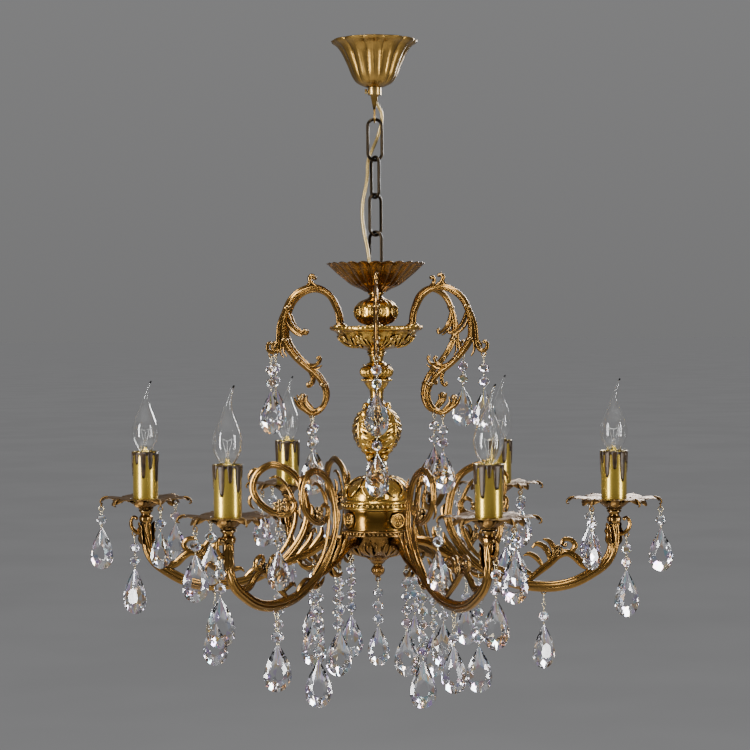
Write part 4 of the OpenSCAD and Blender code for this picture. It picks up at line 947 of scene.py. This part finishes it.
def scroll_mesh():
    shape = Shape()
    strand = ridged(28, 3, 0.40)
    shape.stem(scale_width(SCROLL, SCROLL_W), 0.8, strand)
    shape.stem(scale_width(SCROLL_HOOK, SCROLL_W), 0.85, RIBS)
    # curled knob over the crown
    shape.stem([(30, 50, 1.5), (36, 53, 2.2), (41, 57, 2.6), (42.5, 62, 2.6), (39.5, 65.5, 2.4),
                (36.5, 63.5, 2)], 1, circle(12), 4)
    bud(shape, 37.2, 64.5, 2.7)
    shape.stem([(52, 46, 1.4), (46, 51, 2.1), (42.5, 56.5, 1.8)], 0.9, circle(10), 3)
    # inner strands under the shoulder
    shape.stem([(76, 22, 1.2), (73, 14, 2.4), (70, 6, 2.6), (65, -1, 2.5), (58, -6.5, 2.4), (51, -9, 2.2),
                (48.5, -6, 1.9), (51, -3.6, 1.4)], 0.85, RIBS)
    bud(shape, 50.4, -4.6, 2.3)
    shape.stem([(77, 10, 1.2), (73, 1, 2), (68, -5, 1.9), (62, -9.5, 1.6), (57, -12, 0.8)], 0.7)
    # leaves along the lower sweep
    shape.stem([(60, -42, 1.4), (50, -49, 2.6), (41, -51, 2.5), (33, -48, 2.2), (29.5, -42.5, 1.8),
                (31.5, -39, 1.2)], 0.85, RIBS)
    bud(shape, 32, -40.5, 2.2)
    shape.stem([(50, -50, 1.2), (41, -54.5, 2), (33, -54, 1.7), (28, -51, 0.7)], 0.7)
    shape.stem([(46, -55, 1.2), (41, -62, 2.3), (39.5, -69, 2.4), (41.5, -75, 2.1), (46, -76.5, 1.8),
                (46.5, -72.6, 1.4)], 0.85, RIBS)
    bud(shape, 45.6, -73.8, 2.2)
    # end curl and its leaves
    bud(shape, 56.6, -92, 4.4)
    shape.stem([(47, -108, 2), (55, -104, 2.8), (62, -97, 2.3), (65, -90, 0.8)], 0.8, THIN_RIBS)
    shape.stem([(38, -111, 1.2), (46, -104, 2.2), (51, -98, 2.0), (50, -91, 0.8)])
    bud(shape, 97.6, -21.2, 2.6)
    shape.stem([(84, -18, 1), (89, -19.5, 2), (93.5, -24, 1.7), (94, -28, 0.8)])
    shape.stem([(80, -12, 1), (84, -22, 1.9), (84, -32, 1.6), (80, -39, 0.7)])
    # collar at the foot and small sheaths where strands part
    shape.turned([(0.2, 4.6), (4.6, 4.6), (5.4, 3.6), (4.8, 2.4), (6.2, 1.4), (6.2, 0.1), (0.2, 0.1)], 28,
                 wrap=False)
    for x, z, tilt in ((74.2, 25, 24), (78.2, -17, -14), (60, -41.5, -47), (24.5, -75, -22)):
        at = move(x, 0, z) @ turn("Y", tilt) @ Matrix.Diagonal((1, 0.86, 1, 1))
        shape.turned([(0.1, 2.4), (4.9, 2.0), (5.5, 0), (4.9, -2.0), (0.1, -2.4)], 20, wrap=False, at=at)
    for x, z in SCROLL_EYES:
        eye(shape, x, z)
    return shape.mesh("scroll_casting", [cast_brass])


# ------------------------------------------------------------ arms

ARM_W = 7.0
ARM = [
    (261, 36, 0.8), (261, 22, 1.0), (260.5, 5, 1.1), (258, -14, 1), (249, -29.5, 1), (232.5, -42, 1),
    (210, -54, 1), (184, -60, 1), (156.5, -59.5, 1), (129, -54.5, 0.95), (102, -43, 0.9),
    (79.5, -28, 0.85), (60, -5, 0.8), (49, 18, 0.75), (47, 36, 0.72), (53, 65, 0.7), (66, 87, 0.68),
    (90.5, 98, 0.66), (109, 90, 0.66), (117.5, 76, 0.66), (118, 63, 0.66), (111, 49.5, 0.66),
    (98, 38.5, 0.66), (82.5, 33, 0.64), (69.5, 35, 0.6), (63, 44, 0.55), (66, 51.5, 0.5),
    (72, 54, 0.4), (77, 51, 0.32),
]


def arm_mesh():
    shape = Shape()
    strand = ridged(32, 3, 0.42)
    shape.stem(scale_width(ARM, ARM_W), 0.8, strand)
    # second strand that runs beside the first through the loop
    inner = [(96, -31, 2), (78, -12, 3), (67, 10, 3), (62, 32, 2.8), (67, 56, 2.6), (77, 74, 2.4),
             (88, 82, 2.0), (96, 80, 1.0)]
    shape.stem(inner, 0.75, ridged(20, 2, 0.36), 5)
    # lower branch with its curl
    shape.stem([(246, -31, 3.5), (233, -34, 5), (222, -32, 5.2), (211, -22, 5), (201, -16.5, 4.9),
                (189, -20, 4.9), (177, -31, 4.7), (164, -41, 4.5), (150, -53, 3.2)], 0.75,
               ridged(26, 3, 0.40))
    shape.stem([(204, -17, 3), (211, -8, 3.6), (206, 0, 3.2), (197, 1, 2.8), (194, -5, 2.2),
                (198, -8, 1.6)], 0.8, THIN_RIBS)
    bud(shape, 198, -6, 3.2)
    # leaf and flower inside the lower curve
    for tip, w in (([(178, -29, 2), (177, -18, 4), (170, -8, 4), (161, -5, 3), (156, -10, 1.2)], 1),
                   ([(182, -26, 2), (184, -14, 3.6), (178, -2, 3.2), (170, 1, 1)], 1),
                   ([(170, -36, 2), (162, -24, 3.6), (152, -18, 3), (145, -20, 1)], 1),
                   ([(158, -47, 2), (146, -40, 3.6), (136, -38, 2.6), (131, -42, 0.9)], 1)):
        shape.stem(tip, 0.75, THIN_RIBS)
    for side in (-1, 1):
        flower = move(188, side * 3.4, -14) @ turn("Z", 90 * side)
        medallion(shape, 7.4, flower, 5)
    # rosette that ends the loop
    for side in (-1, 1):
        at = move(84, side * 1.5, 44) @ turn("Z", 90 * side)
        for k in range(6):
            shape.bead(3.2, at=at @ turn("X", 60 * k) @ move(0.6, 0, 5)
                       @ Matrix.Diagonal((0.6, 0.9, 1.3, 1)), n=8)
        shape.bead(3, at=at @ move(1.6, 0, 0), n=10)
    shape.stem([(84, 33, 2), (85, 39, 3.4), (84.5, 46, 2)], 1, circle(10), 3)
    # small leaves that leave the loop
    for tip in ([(52, 62, 1.6), (45.5, 70, 2.8), (45, 79, 2.4), (49, 84.5, 0.9)],
                [(108, 91, 1.6), (117, 91, 2.6), (123, 84, 2.2), (124, 77, 0.8)],
                [(48, 22, 1.6), (41, 31, 2.8), (40, 41, 2.4), (43.5, 47, 0.9)],
                [(117, 60, 1.4), (123, 53, 2.4), (122, 45, 2), (117, 40, 0.8)],
                [(100, -45, 2), (88, -47, 3.4), (78, -43, 2.8), (72, -36, 1)],
                [(131, -51, 2), (122, -42, 3.2), (112, -36, 2.8), (103, -35, 1)]):
        shape.stem(tip, 0.75, THIN_RIBS)
    # foot: acanthus that carries the arm on the drum
    shape.stem([(84, -33, 4), (70, -27, 6.4), (57, -21, 7), (44, -15, 7.2), (30, -6, 7), (15, -1, 6.4),
                (1.5, 0, 6)], 0.85, ridged(32, 4, 0.40))
    for y, lean in ((4.5, 1), (-4.5, -1)):
        for tip in ([(62, -22, 2), (52, -11, 3.8), (44, -1, 3.6), (41, 9, 1.2)],
                    [(46, -15, 2), (36, -3, 3.8), (29, 7, 3.4), (28, 16, 1.2)],
                    [(60, -26, 2), (53, -34, 3.4), (45, -37, 2.8), (38, -34, 1)]):
            shape.stem(tip, 0.6, THIN_RIBS, y=y * 0.7)
    shape.stem([(48, -20, 2), (45, -25, 2.8), (41, -27.5, 2.2)], 0.9, circle(10), 3)
    # hook at the candle end
    shape.stem([(259, 12, 2), (266, 8.5, 2.7), (273, 9, 2.7), (279.5, 15, 2.6), (281, 23, 2.3),
                (277.5, 29.5, 1.9), (273, 28.5, 1.4)], 0.9, THIN_RIBS)
    bud(shape, 274, 27.6, 2.6)
    # strands that twist round the upright, with two leaves under the neck
    upright = smooth(ARM[:6], 8)[2:34]
    for k in range(4):
        strand_points, widths = [], []
        for n_step, (x, z, h) in enumerate(upright):
            q = n_step / (len(upright) - 1)
            a = TAU * k / 4 + 3.6 * q
            reach = 4.4 * math.sin(math.pi * min(1, 0.15 + 0.95 * q)) ** 0.5
            strand_points.append((x + reach * math.cos(a), 0.85 * reach * math.sin(a), z))
            widths.append(1.0 + 2.2 * math.sin(math.pi * min(1, 0.08 + 0.9 * q)) ** 0.7)
        shape.tube(strand_points, widths, 10)
    for half in (0, 180):
        shape.leaf([(5.4, -10), (7.0, 0), (7.4, 9), (8.6, 16), (12, 19.5)], 6.2, 3, cup=0.4, thick=2.2,
                   vein=0.9, nu=22, nv=9, at=move(260.4, 0, 4) @ turn("Z", half + 40))
    # seat under the candle, on a turned neck
    seat = [(0.2, 39), (9, 39), (9.6, 37.6), (7.4, 35.6), (6.2, 33), (7.6, 31), (9.2, 28.5), (8.6, 25),
            (7.6, 22), (0.2, 21)]
    shape.turned(seat, 40, lambda r, z, a, i: (r * (1 + 0.04 * math.cos(10 * a) * (z < 33)), z),
                 wrap=False, at=move(candle_r - ARM_ROOT_R, 0, 0))
    for x, z in (FOOT_EYE, SWEEP_EYE, OUTER_EYE, CURVE_EYE):
        eye(shape, x, z)
    return shape.mesh("arm_casting", [cast_brass])


# ------------------------------------------------------------ candles

def bobeche_mesh():
    shape = Shape()
    plate = smooth([(4.9, 0.2), (14, 0.1), (18.5, 0.3), (26, 1.2), (34, 2.2), (39, 2.6), (41, 1.6)], 3)
    under = smooth([(41, 0.4), (37, 0.9), (28, -0.4), (20.5, -1.4), (17.5, -4.2), (12.5, -8), (8.8, -10.5),
                    (9.4, -12.6), (7, -13.9), (4.9, -13.9)], 3)

    def mod(r, z, a, i):
        valley = 1 - lobes(a, 12, 0.7)
        grow = max(0, (r - 26) / 15)
        rr, zz = r * (1 - 0.10 * grow * valley), z - 4.2 * grow ** 2 * valley
        if i < len(plate):
            return rr, zz + 0.5 * math.cos(24 * a) * grow
        return rr * (1 + 0.07 * math.cos(12 * a) * (8 < r < 22)), zz

    shape.turned([*plate, *under], 144, mod)
    for k in range(6):
        at = turn("Z", 60 * k)
        shape.leaf([(20, 0.8), (31, 2.0), (41, 3.0), (49, 3.2), (55, 1.2), (58.6, -3.4)], 17, 4, cup=0.10,
                   thick=1.1, vein=0.7, nu=30, nv=13, at=at, jag=0.16,
                   envelope=lambda t: min(1, 0.75 + 0.5 * t) * (1 - max(0, (t - 0.42) / 0.6) ** 1.4) + 0.04)
        shape.stem([(51, 3, 1.3), (56.5, 1.8, 1.5), (60, -1.6, 1.4), (60.4, -4.8, 1.1), (58, -5.8, 0.8)], 1.1,
                   circle(8), 4, at=at)
        lobe = turn("Z", 60 * k + 30)
        shape.leaf([(24, 1), (33, 2.0), (40, 1.2), (44.5, -2.5), (46.5, -7)], 11, 3, cup=0.16, thick=1.1,
                   vein=0.5, nu=20, nv=9, at=lobe,
                   envelope=lambda t: math.sin(math.pi * min(1, 0.35 + 0.61 * t)) ** 0.8)
    for k in range(10):
        shape.leaf([(8.6, -11.5), (13, -8.5), (18, -4.6), (22.5, -2.2), (25.5, -3)], 4.6, 2, cup=-0.25,
                   thick=-1.1, vein=-0.5, nu=12, nv=7, at=turn("Z", 36 * k))
    for a in (0, 120, 240):
        shape.ring(3, 0.7, 18, 8, at=turn("Z", a) @ move(RIM_EYE_R, 0, -8.5) @ turn("Z", 90))
    return shape


def drips(a):
    """How far the wax has run down at an angle round the candle, in mm."""
    runs = ((0.2, 26, 0.24), (0.95, 14, 0.18), (1.55, 34, 0.22), (2.2, 18, 0.17), (2.85, 29, 0.24),
            (3.6, 13, 0.17), (4.15, 31, 0.21), (4.75, 20, 0.19), (5.4, 36, 0.22), (5.9, 12, 0.15))
    far = 3.4
    for centre, length, width in runs:
        d = (a - centre + math.pi) % TAU - math.pi
        if abs(d) < width:
            far = max(far, 3.4 + length * (1 - (abs(d) / width) ** 4) ** 0.5)
        elif abs(d) < 2 * width:
            far = max(far, 3.4 + 3 * (2 - abs(d) / width) ** 2)
    return far


def candle_shape():
    """A candle sleeve with wax runs, its foot on z = 0."""
    shape = Shape()
    h = SLEEVE_TOP - BOBECHE_Z
    r = 16.4
    outline = [(r, 0.1), (r + 0.1, 1), (r, 2), (r, h - 1.2), (r - 0.5, h - 0.3), (r - 1.6, h - 0.3),
               (r - 1.6, 0.1)]
    shape.turned(outline, 72, lambda rr, z, a, i: (rr + 0.12 * math.sin(3 * a + 0.08 * z), z))
    n, m = 220, 10
    rows = []
    for j in range(m):
        s = j / (m - 1)
        row = []
        for k in range(n):
            a = TAU * k / n
            far = drips(a)
            fat = (0.5 + 0.9 * min(1, far / 18)) * math.sin(math.pi * min(1, 0.35 + 0.64 * s)) ** 0.45
            if s > 0.86:
                fat *= 1.2
            row.append(((r + 0.1 + fat) * math.cos(a), (r + 0.1 + fat) * math.sin(a), h - 0.1 - s * far))
        rows.append(row)
    rows.append([(x * 0.9, y * 0.9, z + 0.3) for x, y, z in rows[-1]])
    inside = [(0.88 * x, 0.88 * y, h - 0.4) for x, y, z in rows[0]]
    shape.rows([inside] + rows, wrap=True, mat=1)
    shape.tube([(16.5 * x, 16.5 * y, h - 0.9) for x, y in circle(48)], 0.85, 8, wrap=True)
    return shape


def candles():
    sleeves, dishes = Shape(), Shape()
    candle, dish = candle_shape(), bobeche_mesh()
    for i, a in enumerate(angles):
        at = turn("Z", a) @ move(candle_r, 0, BOBECHE_Z)
        sleeves.merge(candle, at @ turn("Z", 71 * i))
        dishes.merge(dish, at)
    piece("candle_sleeves_waxed", sleeves.mesh("candle_sleeves_waxed", [candle_paint(), wax_paint()]),
          FIXTURE, ["candle_sleeves"])
    piece("bobeches_leafed", dishes.mesh("bobeches_leafed", [bobeche_bronze]), FIXTURE,
          ["bobeches"])


BULB = [(0, 0, 0.40), (0, 0.05, 0.50), (0, 0.10, 0.66), (0, 0.16, 0.83), (0, 0.22, 0.95), (0, 0.28, 1.0),
        (0, 0.34, 0.99), (0, 0.40, 0.93), (0, 0.46, 0.82), (0.1, 0.52, 0.69), (0.2, 0.58, 0.55),
        (0.4, 0.64, 0.42), (0.8, 0.70, 0.31), (1.6, 0.76, 0.225), (2.8, 0.82, 0.16), (4.3, 0.88, 0.115),
        (6.2, 0.94, 0.085), (8.6, 0.99, 0.05)]


def bulb_shape(bottom, top):
    """A clear candle lamp with a bent tip, about x = y = 0."""
    shape = Shape()
    h = top - bottom
    path = smooth([(x, bottom + t * h, r * 17.5) for x, t, r in BULB], 3)
    way = np.gradient(path[:, :2], axis=0)
    way /= np.linalg.norm(way, axis=1)[:, None]
    rows = []
    for offset, order in ((0, range(len(path))), (0.65, range(len(path) - 4, -1, -1))):
        for i in order:
            r = max(path[i, 2] - offset, 0.12)
            rows.append([(path[i, 0] + way[i, 1] * r * c, r * s, path[i, 1] - way[i, 0] * r * c)
                         for c, s in circle(32)])
    shape.rows(rows, wrap=True)
    # glass stem, lead wires and filament
    shape.turned([(0.1, bottom), (5.8, bottom), (5.2, bottom + 3), (2.6, bottom + 8), (1.5, bottom + 15),
                  (2.0, bottom + 18), (0.1, bottom + 18.8)], 20, wrap=False, mat=0)
    for side in (-1, 1):
        shape.tube([(1.4 * side, 0, bottom + 12), (2.0 * side, 0, bottom + 18), (4.6 * side, 0, bottom + 27),
                    (5.6 * side, 0, bottom + 33)], 0.28, 6, mat=1)
    shape.tube([(0, 0.2, bottom + 18), (0, 0.3, bottom + 26), (0, 0, bottom + 31)], 0.22, 6, mat=1)
    coil = [((-5.6 + 11.2 * t), 0.55 * math.sin(34 * TAU * t / 2), bottom + 33 - 9 * t * (1 - t)
             + 0.55 * math.cos(34 * TAU * t / 2)) for t in np.linspace(0, 1, 140)]
    shape.tube(coil, 0.14, 4, mat=1)
    # threaded cap
    cap = [(0.1, bottom + 0.2), (6.6, bottom + 0.2), (6.9, bottom - 1.5)]
    for k in range(5):
        cap += [(6.85, bottom - 3 - 2.4 * k), (6.3, bottom - 4.2 - 2.4 * k)]
    cap += [(6.3, bottom - 15.6), (3.6, bottom - 18), (3.0, bottom - 19.2), (0.1, bottom - 19.4)]
    shape.turned(cap, 32, wrap=False, mat=2)
    return shape


def bulbs():
    for i in range(1, 7):
        lo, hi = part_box(f"bulb_{i}")
        x, y, _ = joints[f"bulb_{i}_turn"]["pos_m"]
        shape = bulb_shape(lo[2] / MM + 19.5, hi[2] / MM - 0.4)
        data = shape.mesh(f"bulb_{i}_glass", [bulb_glass, ceramic, pin_metal])
        piece(f"bulb_{i}_lamp", data, f"bulb_{i}", [f"bulb_{i}"], move(x / MM, y / MM, 0))


# ------------------------------------------------------------ drops

ALMOND = [(0.0, 0.06), (0.07, 0.19), (0.17, 0.40), (0.29, 0.64), (0.41, 0.82), (0.52, 0.94), (0.61, 0.99),
          (0.69, 1.0), (0.77, 0.965), (0.85, 0.86), (0.92, 0.66), (0.965, 0.43), (0.99, 0.21), (1.0, 0.0)]


def almond(shape, top, size, face):
    """A flat cut almond that hangs from z = top."""
    w, t, h = 17 * size, 6.5 * size, 60 * size
    rim = [(s * r * w, 0.0, -u * h) for u, r in ALMOND for s in ((-1, 1) if r else (1,))]
    points = [(x, y, z) for x, _, z in rim[2:] for y in (-0.09 * t, 0.09 * t)]
    for grow, out, count, phase in ((0.74, 0.62, 12, 0.5), (0.42, 1.0, 8, 0.0)):
        for k in range(count):
            a = TAU * (k + phase) / count
            u = 0.64 - 0.5 * grow * math.cos(a) * (1.12 if math.cos(a) > 0 else 0.62)
            i = next(j for j in range(len(ALMOND) - 1) if ALMOND[j + 1][0] >= u - 1e-9)
            (u0, r0), (u1, r1) = ALMOND[i], ALMOND[i + 1]
            r = (r0 + (r1 - r0) * (u - u0) / (u1 - u0)) * min(1, grow * 1.05) * abs(math.sin(a)) ** 0.7
            for side in (-1, 1):
                points.append((math.copysign(r * w, math.sin(a)), side * out * t, -u * h))
    points += [(0.6, 0.8, 0), (-0.6, 0.8, 0), (0.6, -0.8, 0), (-0.6, -0.8, 0)]
    shape.facets(points, at=move(0, 0, top) @ turn("Z", face))


def cut_bead(shape, z, r, face):
    """A round cut bead with a flat table on both faces."""
    points = [(r * x, y, r * z * 0.98) for x, z in circle(10) for y in (-0.5, 0.5)]
    points += [(0.78 * r * x, side * 0.36 * r, 0.78 * r * z) for x, z in circle(10, 0.5) for side in (-1, 1)]
    points += [(0.46 * r * x, side * 0.56 * r, 0.46 * r * z) for x, z in circle(5) for side in (-1, 1)]
    shape.facets(points, at=move(0, 0, z) @ turn("Z", face))


def drop_shape(lead, beads, size, face=0.0):
    """A whole drop about its pivot, as the CAD has it: ring, links, beads and almond."""
    shape = Shape()
    ring_z = 1.9 - 3.2
    shape.ring(3.2, 0.55, 18, 7, mat=1, at=move(0, 0, ring_z) @ turn("Z", 90))
    z = ring_z - 3.2
    first = -lead - 7
    gap = z - (first + 6.6)
    links = max(1, round(gap / 6))
    pitch = gap / links
    for k in range(links):
        shape.ring(pitch / 2 + 0.3, 0.42, 16, 6, mat=1,
                   at=move(0, 0, z - pitch * (k + 0.5)) @ turn("Z", 90 * ((k + 1) % 2) + 8)
                   @ Matrix.Diagonal((0.62, 1, 1, 1)))
    for k in range(beads):
        z = first - BEAD_PITCH * k
        cut_bead(shape, z, 6.9, face + 9 * (k % 2))
        shape.ring(1.9, 0.4, 14, 6, mat=1, at=move(0, 0, z - BEAD_PITCH / 2) @ turn("Z", 90 + face))
    almond(shape, -lead - BEAD_PITCH * beads - 0.3, size, face)
    return shape


DROP_TURNS = (12, -22, 5, 26, -14, 18, -7)


def facing(k, carried):
    """The turn that makes a carried almond face the front, give or take a few degrees."""
    return DROP_TURNS[int(k) % len(DROP_TURNS)] - carried


def drops():
    still = Shape()
    rim_z = joints["rim_drop_1_swing"]["pos_m"][2] / MM

    def hang(at, lead, beads, size, face, name=""):
        """One drop. With a name it is the node of that name, on its own hinge."""
        shape = drop_shape(lead, beads, size, face)
        if name:
            data = shape.mesh(name + "_crystal", [crystal, pin_metal], tints=True)
            piece(name + "_crystal", data, name, [name], at)
        else:
            still.merge(shape, at)

    def pivot(name):
        x, y, z = joints[name + "_swing"]["pos_m"]
        return move(x / MM, y / MM, z / MM)

    for i, a in enumerate(angles, 1):
        for side in (120, 240):
            at = (turn("Z", a) @ move(candle_r, 0, rim_z) @ turn("Z", side) @ move(RIM_EYE_R, 0, 0)
                  @ turn("Z", 90))
            hang(at, RIM_LEAD, 1, 0.8, facing(i + side / 120, a + side + 90))
        arm = turn("Z", a) @ move(ARM_ROOT_R, 0, ARM_ROOT_Z)
        for (x, z), beads, size, k in ((OUTER_EYE, 2, 1.0, 4), (FOOT_EYE, 4, 0.95, 5),
                                       (CURVE_EYE, 5, 1.0, 1)):
            hang(arm @ move(x, 0, z), HOOK_LEAD, beads, size, facing(i + k, a))
        name = f"rim_drop_{i}"
        hang(pivot(name) @ turn("Z", a + 90), RIM_LEAD, 1, 0.92, facing(i, a + 90), name)
        name = f"arm_drop_{i}"
        hang(pivot(name) @ turn("Z", a), ARM_LEAD, 1, 0.95, facing(i + 2, a), name)
    for i, (at, yaw) in enumerate(zip(scroll_places(), SCROLL_YAWS), 1):
        a = 60 * i - 30 + yaw
        for (x, z), size, k in zip(SCROLL_EYES, (0.9, 0.92), (0, 3)):
            hang(at @ move(x, 0, z), HOOK_LEAD, 2, size, facing(i + k, a))
    piece("crystal_group", still.mesh("crystal_group", [crystal, pin_metal], tints=True), FIXTURE,
          ["crystal_drops"])
    hang(pivot("finial_drop"), FINIAL_LEAD, 3, 0.85, 0, "finial_drop")


# ------------------------------------------------------------ assembly

for build in (canopy, upper_dish, embossed_ball, scroll_bowl, waist, vase, dome, drum, base, finial):
    build()
scroll_data = scroll_mesh()
for i, at in enumerate(scroll_places()):
    piece(f"scroll_{i + 1}_casting", scroll_data, FIXTURE, [f"scroll_{i + 1}"], at)
arm_data = arm_mesh()
for i, a in enumerate(angles):
    piece(f"arm_{i + 1}_casting", arm_data, FIXTURE, [f"arm_{i + 1}"],
          turn("Z", a) @ move(ARM_ROOT_R, 0, ARM_ROOT_Z))
candles()
bulbs()
drops()


# ------------------------------------------------------------ floor and light

SKY = 0.30
FLOOR_Z, FLOOR_R = -2.5, 2000.0


def stage_floor():
    n = Nodes("pale_floor")
    n.link(n.ramp(n.noise(0.6, 2), (0.4, (0.60, 0.60, 0.605)), (0.6, (0.63, 0.63, 0.635))),
           n.shader.inputs["Base Color"])
    n.set(Roughness=1.0, Specular_IOR_Level=0.0)
    data = bpy.data.meshes.new("floor")
    z, r = FLOOR_Z, FLOOR_R
    data.from_pydata([(-r, -r, z), (r, -r, z), (r, r, z), (-r, r, z)], [], [(0, 1, 2, 3)])
    data.materials.append(n.material)
    floor = bpy.data.objects.new("floor", data)
    bpy.context.scene.collection.objects.link(floor)


def studio_air():
    """A grey room, as bright at its horizon as the far floor looks."""
    world = bpy.data.worlds.new("studio")
    world.use_nodes = True
    tree = world.node_tree
    place = tree.nodes.new("ShaderNodeTexCoord")
    parts = tree.nodes.new("ShaderNodeSeparateXYZ")
    ramp = tree.nodes.new("ShaderNodeValToRGB")
    for el, (pos, share) in zip(ramp.color_ramp.elements, ((0.0, 0.62), (1.0, 1.19))):
        el.position = pos
        grey = SKY * share
        el.color = (grey, grey, grey * 1.01, 1)
    tree.links.new(place.outputs["Generated"], parts.inputs[0])
    tree.links.new(parts.outputs["Z"], ramp.inputs["Fac"])
    tree.links.new(ramp.outputs["Color"], tree.nodes["Background"].inputs["Color"])
    bpy.context.scene.world = world


def soft_light(name, place, aim, size, power):
    data = bpy.data.lights.new(name, "AREA")
    data.shape = "RECTANGLE"
    data.size, data.size_y = size
    data.energy = power
    light = bpy.data.objects.new(name, data)
    bpy.context.scene.collection.objects.link(light)
    way = (Vector(aim) - Vector(place)).to_track_quat("-Z", "Y")
    light.matrix_world = Matrix.Translation(place) @ way.to_matrix().to_4x4()


stage_floor()
studio_air()
soft_light("key", (-2.0, -1.5, -0.4), (0, 0, -0.4), (0.45, 2.2), 120)
soft_light("fill", (2.1, -1.1, -0.5), (0, 0, -0.4), (0.3, 2.0), 62)
soft_light("back", (1.0, 2.0, 0.3), (0, 0, -0.4), (1.2, 0.8), 55)
soft_light("top", (-0.3, -1.0, 1.4), (0, 0, -0.5), (0.8, 0.5), 50)
